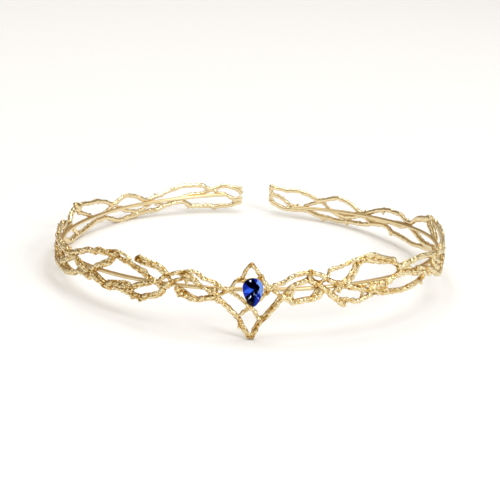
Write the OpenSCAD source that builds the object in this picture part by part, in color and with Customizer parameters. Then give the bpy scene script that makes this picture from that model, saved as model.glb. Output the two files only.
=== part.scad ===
// Open tiara band of cast gold twigs with a pear stone at the front.
// The band is charted on a cylinder: an angle round the head, 0 at the front and + towards +X,
// and a height over the plane of the support wire. The whole is then set down as it rests.

/* [Band] */
// Radius of the support wire's centreline
wire_r = 71.9; // [60:0.1:80]
// Diameter of the support wire
wire_d = 1.5; // [1:0.1:2]
// Step from the wire's centreline out to the cylinder that the twigs lie on
twig_out = 1.1; // [0.9:0.1:1.3]
// Factor on every twig's thickness
twig_scale = 1; // [0.85:0.05:1.25]
// Factor on the height of the twigs over the wire
height_scale = 1; // [0.8:0.05:1.2]
// Sides of a twig's cross-section
twig_sides = 5; // [4:1:5]
// Spacing of the cross-sections along a straight twig
ring_step = 9.5; // [8:0.5:12]

/* [Stone] */
// Length of the pear stone from its round end to its point
stone_l = 10; // [8:0.5:12]
// Width of the pear stone
stone_w = 7; // [5.5:0.5:8]
// Height of the crown over the girdle
crown_h = 1.2; // [0.8:0.1:1.6]
// Depth of the pavilion behind the girdle
pavilion_h = 2.8; // [2:0.1:3.4]
// Thickness of the girdle
girdle_h = 0.3; // [0.2:0.05:0.5]
// Gap between the stone and its collet
stone_gap = 0.1; // [0.05:0.05:0.2]
// Thickness of the collet's wall
collet_wall = 0.35; // [0.3:0.05:0.6]

/* [Rest] */
// Lean from front to back when the band rests on its V and its two arms
rest_tilt = 4.54; // [0:0.01:8]
// Lean from side to side when it rests
rest_roll = 2.45; // [0:0.01:4]

/* [Hidden] */
twig_r = wire_r + twig_out;

// Support wire, rows of [angle, height]: it lies flat round the front and twists a little at the arms
WIRE = [
    [-172, 2.6], [-165, 2.4], [-150, 1.6], [-135, 1.0], [-118, 0.3], [-100, 0], [-80, 0], [-60, 0],
    [-40, 0], [-20, 0], [0, 0], [20, 0], [40, 0], [60, 0], [80, 0], [92, -0.2], [104, -0.6],
    [115, -1], [130, -1.5], [145, -1.7], [158, -2.0], [166, -2.0]];

// Twigs, rows of [outward, first diameter, last diameter, points], each point an [angle, height].
// Outward is counted from the twigs' cylinder, and lets one twig pass over another.
OUTWARD = 0;
FIRST_D = 1;
LAST_D = 2;
POINTS = 3;
CENTRE = [
    [0.2, 1.3, 1.5, [[0.7, 9.2], [0, 8.3], [-0.8, 7.1], [-1.4, 5.5], [-1.8, 4.3], [-2.6, 3.5],
        [-3.5, 3], [-4.1, 2.1], [-4.5, 1], [-5.1, 0], [-6.6, -0.2]]],
    [0.4, 1.3, 1.5, [[0.7, 9.2], [1.4, 8.2], [2, 7.1], [2.6, 5.8], [3.3, 4.5], [3.9, 3.3],
        [4.5, 2.3], [5, 1.1], [5.2, -0.2]]],
    [0.3, 1.4, 1.4, [[-5.4, 0], [-4, -1.2], [-2.3, -2.6], [-1, -4.1], [0.2, -5.7], [1.3, -6.8],
        [2, -8.2], [2.8, -10]]],
    [-0.2, 1.5, 1.3, [[5.4, 0.4], [4.9, -0.7], [4.2, -1.4], [3.1, -3], [1.6, -4.5], [0.2, -5.9],
        [-0.7, -7], [-1.6, -8.1], [-3, -9.6]]],
    [0, 1.9, 1.7, [[-9.3, 0], [-8.8, -2.1], [-7.5, -3.8], [-5.5, -6.2], [-3.7, -8.4], [-2.4, -10.3],
        [-1.6, -12.4], [-0.8, -14.3], [0.3, -16.4]]],
    [0, 1.6, 1.7, [[10.4, -0.5], [9.5, -1.5], [8.6, -2.4], [7.5, -4], [6.5, -5.6], [5.4, -7.3],
        [4.3, -9], [3, -10.6], [2.1, -12.5], [1.5, -14.3], [0.9, -16.4]]],
    [0.4, 1.5, 1.4, [[9.7, -2.2], [8.6, -3.5], [7.5, -5.1], [6.3, -6.8], [5.3, -8.4], [4, -10.3]]],
    [0.4, 1.5, 1.3, [[3.7, -10.2], [2.8, -11.8], [2.2, -13.4], [1.7, -15.1]]],
    [0, 1.4, 1.3, [[-2.5, -10], [-2.2, -13.2]]],
    [0, 1.7, 1.5, [[0.6, -16.4], [1.4, -16.3]]],
    [0.4, 1.3, 1.3, [[-6, -0.4], [-7.1, -1.5], [-8.2, -1.9], [-9, -1.2]]]];

LEFT_FRONT = [
    [0.1, 1.6, 1.5, [[-5.1, 0], [-6.3, 0.3], [-7.5, 1], [-8.6, 1.8], [-9.7, 2.6], [-10.9, 3],
        [-11.8, 3.3], [-12.6, 4], [-13.3, 4.8], [-14.3, 5.4], [-15.5, 5.5], [-17, 5.3],
        [-18.6, 4.9], [-20.2, 4.4], [-21.9, 3.6], [-23.4, 2.7], [-24.4, 1.7], [-24.4, 0.5],
        [-23.3, -0.1]]],
    [0.5, 1.7, 1.2, [[-8.9, -1], [-10, -1], [-11.1, -0.3], [-12.2, 0.5], [-13.2, 1.3], [-14.1, 2.5],
        [-14.9, 3.7], [-16.5, 4.1], [-18.3, 4]]],
    [-0.3, 1.2, 1.5, [[-12.9, 0.5], [-13.8, 1.2], [-15, 2.1], [-16.4, 2.5], [-17.9, 2.6],
        [-19.6, 2.1], [-20.7, 1.3], [-21.9, 0.2], [-23.1, -0.7]]],
    [0.3, 1.7, 1.6, [[-19.8, -0.6], [-19.4, -1.5], [-18.4, -2.2], [-17.3, -3.1], [-16.2, -3.7],
        [-14.8, -4.1], [-13.4, -4.1], [-12.1, -3.6], [-10.7, -3.4], [-9.2, -3.2], [-7.9, -3.9]]],
    [-0.3, 1.1, 1.1, [[-19.2, -0.5], [-17.8, -1.2], [-16.4, -2.2], [-15.2, -3.2], [-13.6, -3.6],
        [-11.9, -3.2], [-10.5, -2.6], [-9.1, -1.8]]],
    [0.4, 1.6, 1.5, [[-18.8, -3.4], [-18.7, -2.3], [-17.8, -2.5]]],
    [0.2, 2, 1.9, [[-31.9, 7.4], [-31, 8.2], [-29.7, 7.9], [-28.4, 7.3], [-27.1, 7.1], [-25.7, 6.7],
        [-24.5, 6], [-23.3, 5], [-22.4, 3.5]]],
    [-0.4, 1.4, 1.4, [[-31.1, 6.6], [-29, 6], [-27.2, 5.7], [-25.6, 5.4], [-24.3, 4.6],
        [-23.1, 3.1]]],
    [0, 1.8, 1.8, [[-41.5, 7.2], [-40, 7.2], [-38.6, 6.9], [-37.3, 6.4], [-36, 6], [-34.6, 5.8],
        [-33.2, 4.9], [-32.1, 4.1], [-30.9, 3.3], [-29.8, 2.7], [-28.6, 2.1], [-27.3, 1.4],
        [-26, 0.6], [-24.8, -0.5], [-23.8, -1.2]]],
    [0.3, 0.8, 1.6, [[-41, 8.6], [-39.6, 8.9], [-38.2, 9.1], [-36.8, 8.7], [-35.4, 7.9],
        [-34.3, 7.1], [-33.3, 5.7], [-32.2, 5], [-30.9, 4.5], [-29.4, 3.9], [-28.5, 2.8],
        [-27.9, 1.5]]],
    [0.2, 2.3, 2, [[-38.6, 7.6], [-40.5, 8], [-42.5, 7.6], [-44.5, 7.4], [-46.5, 7.4], [-48.2, 6.7],
        [-49.6, 6.6], [-51.1, 6.6], [-53, 5.8], [-55, 4.9], [-57.2, 4], [-59.5, 3.2], [-62, 2.4],
        [-64, 1.4]]],
    [-0.2, 2.6, 2.2, [[-40.6, 6.2], [-42, 4.5], [-43.8, 3.3], [-46.1, 2.2], [-48, 0.9],
        [-49.7, -0.5], [-51.2, -2.3]]],
    [0.2, 2.1, 2.3, [[-66, 2.2], [-63.5, 1.5], [-60.5, 1.8], [-58, 1.5], [-56.2, 0.7],
        [-54.6, -0.5], [-52.5, -1.3], [-50, -2.1], [-47.7, -2.9], [-45.6, -3.8], [-44, -4.5],
        [-42.4, -5], [-40.5, -4.4], [-38.4, -4], [-36.6, -4.4], [-35, -4.9], [-33.4, -5.3],
        [-31.8, -5.7], [-30.4, -5.8], [-28.9, -5.2], [-27.4, -4.7], [-25.8, -4.1], [-24.6, -3.2],
        [-23.7, -2], [-22.9, -0.6], [-21.6, 0.6]]],
    [-0.3, 1.8, 2, [[-48.8, -1.3], [-47.1, -2.2], [-45.4, -3.1], [-43.4, -3.9], [-41.3, -2.9],
        [-39.6, -2.7], [-37.8, -2.5], [-36.1, -2.1], [-35, -2.4], [-34.3, -3.2], [-33.8, -4.3]]],
    [0.4, 2, 2, [[-43, -4.2], [-41, -3.4], [-39, -3.1], [-37, -3.2], [-35, -3.6], [-33.4, -4.6]]],
    [0.3, 2, 1.6, [[-33.3, -3.2], [-32.4, -2.1], [-31.2, -1.3], [-29.8, -0.9], [-28.4, -0.5],
        [-26.8, 0.2]]],
    [0.3, 1.5, 1.3, [[-33.4, -5.4], [-33.4, -6.8]]],
    [0.3, 1.6, 1.4, [[-31, -5.8], [-30.8, -7.2]]],
    [-0.3, 0.8, 0.8, [[-17.5, 2.5], [-16.4, 0.4]]],
    [0, 1.5, 1.5, [[-22.2, 2.9], [-20.7, 0.7]]]];

LEFT_SIDE = [
    [0.6, 2.1, 2, [[-48.6, -2.2], [-50.4, -3.2], [-52, -2.8], [-53.6, -2.4], [-56, -2.7],
        [-58.8, -3.9], [-61.6, -4.9], [-65, -5.4], [-69.5, -5.2], [-74.5, -5.1], [-79, -4.9],
        [-83, -3.6], [-86.5, -1.6], [-90, 0.4], [-93, 2.2], [-96, 2.8], [-99.5, 2.4], [-103, 1.6]]],
    [0, 1.8, 1.8, [[-58.5, 1.2], [-57.6, -0.4], [-56.6, -1.4], [-55.2, -2.4]]],
    [0.2, 2, 2, [[-60, 1.4], [-63.4, -0.2], [-66.5, -1.8], [-70.5, -3.4], [-74.8, -4.4],
        [-80, -4.6], [-85, -4.2], [-90, -4.2], [-95, -4.8], [-100, -5.6], [-104, -5.9]]],
    [-0.3, 1.8, 1.8, [[-59.6, -4.6], [-62.6, -4.6], [-66.4, -4.2], [-70.5, -2.4], [-73.5, -0.6],
        [-76, 1.4], [-79, 3], [-83, 4.2], [-88, 4.6], [-93, 3.8]]],
    [0.2, 2.5, 2, [[-62, 1.9], [-66, 2.4], [-70, 2.9], [-75, 3.3], [-80, 3], [-85, 2], [-90, 0.6],
        [-94, -1.2], [-98, -3.4], [-101, -5]]],
    [-0.1, 1.7, 1.7, [[-103.5, 1.8], [-100, 1.2], [-97, 0], [-94, -1.4]]]];

LEFT_BACK = [
    [0, 1.9, 1.7, [[-109.5, 6.2], [-112.3, 6.8], [-114.7, 6.5], [-117.8, 6.1], [-120.6, 6.1],
        [-123, 5.5], [-125.2, 4.8], [-127.2, 3.6], [-128.6, 2.6]]],
    [0.2, 2.2, 2.2, [[-110.5, 5.2], [-107.5, 6], [-105.2, 5.2], [-103.9, 3.6], [-103.2, 1.8],
        [-104, -0.6]]],
    [-0.2, 1.6, 1.5, [[-109, 4.4], [-111.8, 3.2], [-114, 2.3], [-116.3, 1.1], [-118, -0.1]]],
    [0.1, 1.8, 1.8, [[-124.8, 0.2], [-126.5, 1], [-127.8, 1.8], [-129.5, 2.9], [-131.8, 4.3],
        [-134.4, 5.5], [-137.2, 5.2], [-139.5, 4.2], [-141.4, 2.9], [-143.3, 2.3], [-145.8, 3],
        [-147.7, 3.7], [-149.5, 4.5], [-151.4, 5.3], [-153.8, 5.9], [-155.3, 6.6], [-158, 7],
        [-161.5, 6.9], [-163.7, 6.6], [-165.3, 5.4], [-167.2, 4.9], [-169, 5.6], [-170.5, 6.2],
        [-172.2, 6.2], [-174, 5.4], [-176.8, 5.2]]],
    [0, 1.8, 1.6, [[-175, 5.2], [-176.2, 4.2], [-176.9, 3]]],
    [-0.1, 1.3, 1.3, [[-129.6, 2.4], [-131, 1.5], [-132.8, 0.6]]],
    [0, 2.1, 1.8, [[-104, -5.9], [-107, -5.1], [-110, -4.9], [-114, -4], [-117, -3.3], [-120, -2.2],
        [-122.6, -2], [-125.5, -2], [-128, -3], [-131, -4.2], [-133.7, -4.2], [-136.7, -3.6],
        [-139.2, -3.1], [-141.5, -2.8], [-144, -2.4], [-146.8, -2.4], [-148.6, -1.6], [-150.8, -0.8],
        [-152.8, -0.2], [-155, 0.2], [-157, 0], [-158.4, -1.2], [-159.8, -2], [-161.5, -2],
        [-163.7, -2.3], [-166.4, -2.3], [-168, -2.8], [-169.9, -2.4], [-171.6, -2.5], [-173.7, -2],
        [-176.6, -0.9]]],
    [0.1, 1.3, 1.3, [[-131.8, 0.3], [-134.5, -0.7], [-136.7, -1.3], [-138.7, -1.8], [-140.6, -1.6],
        [-142.5, -0.6], [-144.4, 0.2]]],
    [-0.1, 1.3, 1.3, [[-146.5, 0.4], [-148.5, -0.3], [-150.8, -0.7], [-152.5, -0.2]]],
    [-0.2, 1.7, 1.7, [[-105, -0.8], [-106.5, -2.5], [-108.5, -4.4]]],
    [0, 1.5, 1.4, [[-166.8, 4.7], [-165, 3.9], [-163, 3.2], [-160.2, 3.2], [-157.8, 2.6],
        [-155.2, 2]]],
    [-0.2, 1.4, 1.8, [[-167.5, 4.5], [-168.6, 3.5], [-170.3, 3], [-171.6, 2.4], [-173, 1.3],
        [-174.6, 0.6], [-176.8, 0.9]]],
    [0, 1.8, 1.6, [[-174, 0.8], [-175, -0.4], [-176.6, -0.9]]]];

RIGHT_FRONT = [
    [0.1, 1.6, 1.7, [[5.4, 0.4], [6.4, 1.5], [7.6, 2.2], [8.9, 2.5], [9.9, 3.3], [11.2, 4.4],
        [12.3, 5], [13.6, 5.5], [15, 5.7], [16.1, 5.6], [17.3, 5.5], [18.7, 5.1], [19.8, 4.6],
        [20.8, 3.7], [21.9, 2.7], [23.1, 2], [24.3, 1.3], [25.7, 0.7]]],
    [0.4, 1.9, 2.3, [[16.4, 6.1], [16.2, 4.7], [16.6, 3], [18.1, 1.8], [19.4, 1], [20.7, -0.4],
        [22.2, -2], [23.7, -3.6], [25.2, -5.2], [26.4, -6.3]]],
    [-0.3, 2, 1.9, [[16.3, 3.2], [14.9, 2.8], [13.4, 2.1], [12, 1.4], [10.9, 0.2], [10.2, -1.2],
        [9.4, -2], [8.2, -2.6]]],
    [0, 1, 1, [[16.8, 4.1], [17.7, 3], [18.9, 2.5], [20.2, 2.5], [21.2, 2.9]]],
    [0.1, 2.2, 2.1, [[8.8, -2.4], [9.7, -2.5], [10.7, -3.3], [12, -4.2], [13.4, -4], [15.2, -3.6],
        [16.6, -3.5], [18, -3.4], [19.1, -2.6], [19.6, -1.4], [19.9, 0]]],
    [-0.3, 1.2, 1.3, [[13.1, -3.8], [14.6, -3.6], [16.1, -3.5], [17.3, -2.6], [17.9, -1.4],
        [18.7, -0.3], [19.3, 0.8]]],
    [0.1, 1.5, 2, [[21.4, 3.2], [21.7, 4.8], [22.1, 6.2], [23.2, 6.6], [24.4, 6.7], [25.6, 7.2],
        [26.9, 7.7], [28.3, 8.3], [30, 8.8], [32.4, 9.3], [34.4, 9.8], [36.4, 9.6], [38.4, 8.4],
        [40.1, 7.6], [42.1, 7], [43.8, 6.3]]],
    [-0.2, 2, 2, [[30.5, 7.8], [32.8, 8.1], [35.3, 7.8], [37.6, 7.2], [39.8, 6.6], [42.2, 6.3],
        [44.4, 5.2], [46.1, 3.7], [47, 2.2]]],
    [0.2, 1.3, 1.2, [[23.3, -1.6], [24.7, 0.2], [25.9, 1.6], [27.4, 3], [28.6, 4.8], [29.2, 6.3],
        [29.7, 7.9]]],
    [0.3, 1.5, 1.6, [[24.6, -1.6], [26.3, 0.3], [28, 1.8], [29.3, 3.6], [30.2, 5.5], [31.1, 7.3],
        [32.3, 8.6]]],
    [0.1, 2, 2.2, [[24.4, 1.6], [26.4, 0.3], [28.3, -0.5], [30.5, -1.2], [32.3, -1.9], [34, -2.6],
        [35.6, -3.3], [37.4, -3.8], [40, -4.4], [43.3, -4.8], [46.4, -5.2], [48.6, -5.2], [51.2, -5],
        [54.1, -4.6], [57, -4], [58.9, -3], [58.5, -1.3]]],
    [0, 1, 1.4, [[28, -0.9], [32.6, -0.5], [36, -0.6], [39.5, -0.5], [42, -0.2], [44, 0.6],
        [45.9, 1.5], [47.4, 2.6]]],
    [0.4, 1.5, 1.4, [[46.6, 2], [45.1, 1], [43.6, 0], [42, -1], [40.5, -2], [39.5, -3.6]]],
    [0.3, 1.6, 1.6, [[34.5, -2.4], [36.2, -1.7], [37.6, -1.6], [39, -1.8], [40.4, -2.9],
        [41.6, -4.2]]],
    [0.2, 1.8, 1.7, [[24.3, -4.4], [25.9, -4.6], [27.7, -5], [29.3, -5.6], [30.7, -5.9],
        [32.1, -5.6], [33.7, -4.9], [35.7, -4.3]]],
    [-0.2, 1.3, 1.3, [[32.6, -2.5], [32.5, -4], [32.2, -5.3]]],
    [0.4, 1.5, 1.3, [[56.6, -4.2], [57.7, -5.4]]],
    [0, 1.2, 1.2, [[11.8, -0.6], [11.4, -1.8], [11.7, -3.2]]],
    [-0.2, 1.4, 1.4, [[6.6, -0.3], [7.5, -1.1], [8.7, -2.2]]]];

RIGHT_SIDE = [
    [0.1, 2.1, 2, [[45.6, 3], [47.2, 3.6], [48.8, 4], [50.5, 4], [52.5, 4.2], [55.4, 4.5],
        [59, 4.4], [62, 3.9], [65.5, 3], [70, 2.2], [75, 1.4], [80, 0.2], [85, -1.4], [90, -3.4],
        [95, -5], [100, -6.2], [104, -6.8], [107, -7.3]]],
    [0.2, 2, 2.1, [[45.5, 0.5], [47.5, 0.8], [49.5, 0.7], [52.3, -0.1], [54.9, -0.9], [57.4, -1.1]]],
    [0, 1.7, 2.2, [[55.1, 1], [57.6, 0.4], [60.3, -0.7], [62.6, -2.2], [63.8, -3.7]]],
    [0.7, 2.2, 2.2, [[104.5, 5.4], [100.5, 5.1], [96.5, 4.6], [92.5, 3.8], [88.5, 2.5], [85, 1.2],
        [81.8, -0.8], [79, -2.8], [76.5, -4.4], [74, -5.5], [71.3, -5.8], [68.8, -4.9],
        [66.4, -3.6], [63.5, -2], [60.5, -0.4]]],
    [-0.2, 1.8, 1.8, [[63, 3.4], [67, 1.4], [71, -0.6], [75, -2.4], [79, -3.6], [84, -4.4],
        [90, -5], [95, -5.4], [100, -5.2], [104, -5.6]]],
    [0.5, 1.9, 1.9, [[68, 2.4], [73, 3.4], [78, 4], [83, 4], [88, 4.2], [93, 4.6], [98, 5]]],
    [0.1, 1.5, 1.3, [[47.6, 2.6], [49.6, 2.3], [51.4, 1.6], [53.2, 0.6]]],
    [0, 2.6, 2.2, [[65.9, 0.2], [68.9, -2.2], [73.4, -4.5], [75.2, -6.2]]]];

RIGHT_BACK = [
    [0, 1.7, 1.9, [[172.8, 6.4], [171.8, 5.7], [169.8, 5.4], [167.6, 4.8], [165.2, 4.9], [163.3, 4.8],
        [161.7, 4.2], [159.8, 3.5], [158.2, 2.6], [157.1, 1.7], [155.8, 1.8], [154, 2.3],
        [151.8, 3.1], [149.9, 3.7], [148.2, 3.3], [146.4, 2.8], [144.5, 2], [143, 0.8],
        [141.6, -0.3], [140.2, -1.1], [138.2, -0.9], [136.4, 0], [134.4, 0.9], [132.6, 1.7],
        [130.4, 2.2], [128.2, 2.7], [126.2, 2.5], [124, 2.5], [122, 2.1], [120.1, 1.1],
        [118.2, 0.3], [116.6, 0.3], [115.2, 1.2], [113, 3], [110.8, 4], [108, 4.6], [105.5, 5.2],
        [103.5, 5.6]]],
    [0.1, 1.8, 1.6, [[172.9, 6.5], [173.1, 4.6], [172.6, 3], [171.1, 2.3], [169.4, 1.5],
        [167.8, -0.1], [166.4, -1.6], [164.5, -2.1]]],
    [0, 1.6, 1.8, [[172.7, 3], [173.1, 1.2], [172.7, -0.3]]],
    [0, 2, 1.9, [[172.9, 0.2], [172.3, -0.9], [171, -1.7], [169.8, -2.6], [168.2, -3.1],
        [166.6, -3.1], [164.6, -3.2], [162.2, -3.2], [160, -3.3], [158.3, -4.1], [156.6, -4.8],
        [154.8, -5.2], [152.7, -5.5], [150.7, -6], [148.6, -6.1], [146.4, -5.9], [144, -5.8],
        [141.4, -5.7], [139, -5.7], [137.4, -5.4], [135.6, -4.8], [133.6, -4.5], [131.6, -4.2],
        [130, -4.2], [128.4, -4.7], [127, -5.7], [125.3, -6.4], [122.6, -6.8], [120, -7.2],
        [117.8, -7.6], [115.5, -8], [113, -7.9], [110, -7.5], [107, -7.3], [104, -6.9]]],
    [-0.1, 1.4, 1.4, [[161.3, -1.4], [159.5, -0.4], [157.5, 0.5], [155.5, 0.9], [154.2, 0.4],
        [153, -0.7], [151.6, -1.8]]],
    [0, 1.5, 1.7, [[152, -2.2], [149.8, -3.3], [148.2, -4.4], [146.4, -5.4]]],
    [0.1, 1.9, 1.9, [[150, -2.6], [147, -3.6], [144.2, -3.5], [141.4, -2.7], [139.6, -2.2],
        [137.6, -3.2], [136, -4.4], [134.6, -4.7]]],
    [0.2, 1.9, 1.9, [[142, -1.8], [138, -2], [135, -2.4], [132, -2.5], [129, -2.4], [126, -2],
        [123, -1.6], [120, -1.2], [117.6, -0.8]]],
    [0, 1.7, 1.6, [[127.4, -2.2], [125.2, -2.4], [123.4, -2.7], [121.4, -2.6], [119.4, -1.9],
        [117.4, -1.3]]],
    [0, 2.1, 2.4, [[117.4, -1.1], [114.9, -2.4], [112.2, -3.6], [109.4, -4.8], [106.2, -5.4],
        [102.2, -5.1], [98.3, -4.5]]],
    [-0.1, 1.7, 1.6, [[104.8, 5], [104, 3], [102.4, 2], [100.6, 0.9], [99, -0.4]]],
    [0, 1.5, 1.2, [[154.7, -5.6], [154.5, -7.1]]],
    [0, 1.5, 1.2, [[146, -6.2], [145.6, -7.3]]],
    [0, 1.5, 1.2, [[127, -5.8], [126.8, -7.5]]],
    [0, 1.3, 1.6, [[114.6, 1.6], [112, 2.7], [109, 3.5], [106, 4.1]]],
    [0, 1.7, 1.9, [[102.4, 5.1], [100.9, 3.7], [99, 2.5], [97.4, 1.1], [96, -0.5]]]];

TWIGS = concat(CENTRE, LEFT_FRONT, LEFT_SIDE, LEFT_BACK, RIGHT_FRONT, RIGHT_SIDE, RIGHT_BACK);

// Knots where twigs branched or were cut, rows of [angle, height, diameter, tip angle, tip height]
KNOTS = [
    [0.7, 8.9, 1.5, 0.8, 9.2], [-2.6, 3.7, 1.8, -0.3, 3.2], [3.4, 5, 1.8, 2.1, 3.2],
    [16.5, 5.8, 2, 16.6, 6.2], [18.6, 1.6, 2.3, 19.4, 1.6], [-31.6, 7.4, 2.2, -31.2, 7.9],
    [-46.3, 7.2, 2.5, -45.8, 7.8], [-50.4, -2.9, 2.3, -50.5, -3.5], [-109.6, 5.6, 2.6, -107.8, 7.4],
    [-139.2, -3, 2.4, -138.6, -3.6], [105, 5.4, 2.8, 104, 5.8], [103, 5.6, 1.8, 101.6, 6.9],
    [-109.6, 5.7, 3.4, -109, 6.9], [-146.4, 3, 1.4, -146.5, 4.3], [-64.5, 3, 3, -67, 3.2],
    [-96.5, 3.2, 3, -94, 2.4], [-80, -4.2, 2.8, -77, -4.8],
    [-158.8, -1.5, 1.3, -158.6, -2.9], [-168.1, -2.7, 1.4, -167.8, -3.8], [138.2, -0.7, 1.4, 138.2, 0.2],
    [130.4, 2, 1.3, 130.7, 0.6], [163.7, -2.1, 1.3, 163.6, -1.2],
    [37.6, -2.6, 1.8, 38.6, -2.8]];

knot_tip_out = 0.3;       // a knot's tip in front of the twigs' cylinder
knot_tip_share = 0.6;     // its thickness as a share of the knot's
knot_sides = 5;
wire_sides = 5;
curve_steps = 3;          // points worked out on each span of a route
bend_step = 0.12;         // extra length that a degree of bend counts for when rings are placed
tip_share = 0.3;          // length of a twig's blunt end as a share of its diameter
far = 4e9;                // height at which coordinates are good to 0.004 mm

stone_angle = 1.05;       // place of the stone round the band
stone_height = 0.2;       // height of its middle over the wire
stone_turn = 2;           // turn of its point towards +X
girdle_out = 3.2;         // its girdle in front of the twigs' cylinder
pear_taper = 0.33;        // how much the pear narrows towards its point
mains = 8;                // main facets of the crown and of the pavilion
table_share = 0.58;       // table's size as a share of the girdle's
star_share = 0.8;         // size at the tips of the star facets, as a share of the girdle's
star_rise = 0.6;          // their height as a share of the crown's
lower_share = 0.3;        // size at the tips of the lower girdle facets
lower_fall = 0.72;        // their depth as a share of the pavilion's
collet_deep = 4.3;        // depth of the collet's back behind the girdle, at the wire
collet_share = 0.5;       // its size at the back as a share of the girdle's
seat_drop = 0.35;         // depth of its top behind the girdle
seat_share = 1 - (1 - lower_share) * seat_drop / (pavilion_h * lower_fall);

// Collet round the stone, rows of [outward from the girdle, size as a share of the girdle's, offset]
COLLET = [
    [-collet_deep, collet_share, collet_wall], [-seat_drop, 1, 0],
    [-seat_drop, seat_share, 1.2 * stone_gap], [-collet_deep, collet_share, 0]];

// A point of the band from its angle, its place outward of the twigs' cylinder and its height
function on_band(angle, outward, height, radius = twig_r) = [
    (radius + outward) * sin(angle), -(radius + outward) * cos(angle), height];

// Catmull-Rom value between b and c, at t from 0 to 1
function curve(a, b, c, d, t) = 0.5 * (2 * b + (c - a) * t
    + (2 * a - 5 * b + 4 * c - d) * t * t + (3 * (b - c) + d - a) * t * t * t);

// The smooth curve through a route's points, with a few points on every span
function smooth(points) = let(last = len(points) - 1) [
    for (i = [0 : last - 1]) for (s = [0 : curve_steps - 1])
        curve(points[max(i - 1, 0)], points[i], points[i + 1], points[min(i + 2, last)], s / curve_steps),
    points[last]];

// Length of a route up to each of its points, where a bend counts as extra length
function travelled(route) = let(last = len(route) - 1) [
    for (i = 0, s = 0; i <= last; i = i + 1, s = s + (i > last ? 0
        : norm(route[i] - route[i - 1]) + (i < last ? bend_step * bend(route, i) : 0))) s];
function bend(route, i) = let(a = unit(route[i] - route[i - 1]), b = unit(route[i + 1] - route[i]))
    acos(min(1, a * b));

// The same route with points about ring_step apart, closer where it bends
function even(route) = let(
    at = travelled(route),
    last = len(at) - 1,
    n = max(1, round(at[last] / ring_step)))
    [for (k = [0 : n]) [for (axis = [0 : 2])
        lookup(at[last] * k / n, [for (i = [0 : last]) [at[i], route[i][axis]]])]];

function unit(v) = v / norm(v);

// Rings of corners round a route: each ring is square to the route, with one corner facing outward
function tube_rings(route, d_first, d_last, sides) = let(last = len(route) - 1) [
    for (i = [0 : last])
        let(
            along = unit(route[min(i + 1, last)] - route[max(i - 1, 0)]),
            away = unit([route[i].x, route[i].y, 0]),
            across = unit(cross(along, away)),
            facing = cross(across, along),
            r = (d_first + (d_last - d_first) * i / last) / 2)
        [for (k = [0 : sides - 1]) route[i] + r * (cos(360 * k / sides) * facing
            + sin(360 * k / sides) * across)]];

function on_route(points, outward, radius = twig_r) = even(smooth(
    [for (p = points) on_band(p[0], outward, p[1] * height_scale, radius)]));
function twig_rings(twig) = tube_rings(on_route(twig[POINTS], twig[OUTWARD]),
    twig[FIRST_D] * twig_scale, twig[LAST_D] * twig_scale, twig_sides);
wire_rings = tube_rings(on_route(WIRE, 0, wire_r), wire_d, wire_d, wire_sides);

// Faces that join rings of equally many corners, one after another
function wall_faces(m, n, loop = false) = [
    for (i = [0 : loop ? m - 1 : m - 2]) for (k = [0 : n - 1])
        let(a = i * n + k, b = i * n + (k + 1) % n, c = (i + 1) % m * n + (k + 1) % n,
            d = (i + 1) % m * n + k)
        for (face = [[a, d, c], [a, c, b]]) face];

// Points of a tube through rings, with a blunt point past each end
function tube_points(rings, d) = let(last = len(rings) - 1) concat([for (ring = rings) each ring],
    [tube_tip(rings[0], rings[1], d), tube_tip(rings[last], rings[last - 1], d)]);
function tube_tip(ring, inner, d) = let(m = middle(ring)) m + tip_share * d * unit(m - middle(inner));
function middle(ring) = [for (axis = [0 : 2]) sum([for (p = ring) p[axis]]) / len(ring)];
function sum(list, i = 0) = i < len(list) ? list[i] + sum(list, i + 1) : 0;
function twig_points(twig) = tube_points(twig_rings(twig), twig[LAST_D] * twig_scale);

module tube(points, sides) {
    m = (len(points) - 2) / sides;
    polyhedron(points, concat(wall_faces(m, sides), [for (k = [0 : sides - 1]) for (face = [
        [m * sides, k, (k + 1) % sides],
        [m * sides + 1, (m - 1) * sides + (k + 1) % sides, (m - 1) * sides + k]]) face]), convexity = 6);
}

// A solid skinned over rings that close on themselves
module skin(rings) {
    polyhedron([for (ring = rings) each ring], wall_faces(len(rings), len(rings[0]), true), convexity = 6);
}

// Ring of the pear's outline at a depth, point down, scaled and then pushed out by an offset
wide_at = asin((sqrt(1 + 8 * pear_taper * pear_taper) - 1) / (4 * pear_taper));
half_w = stone_w / 2 / (cos(wide_at) * (1 + pear_taper * sin(wide_at)));
function pear(out, share = 1, offset = 0, sides = 2 * mains, start = 0) = [
    for (k = [0 : sides - 1])
        let(
            t = 360 * (k + start) / sides,
            wide = 1 + pear_taper * sin(t),
            along = unit([half_w * (pear_taper * cos(t) * cos(t) - sin(t) * wide), stone_l / 2 * cos(t)]))
        [-share * half_w * cos(t) * wide - offset * along.y, out,
            share * stone_l / 2 * sin(t) - offset * along.x]];

// Puts a shape drawn with +Y outward at the stone's place on the band
module at_stone() {
    translate(on_band(stone_angle, girdle_out, stone_height))
        rotate([0, 0, stone_angle + 180]) rotate([0, stone_turn, 0]) children();
}

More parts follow.
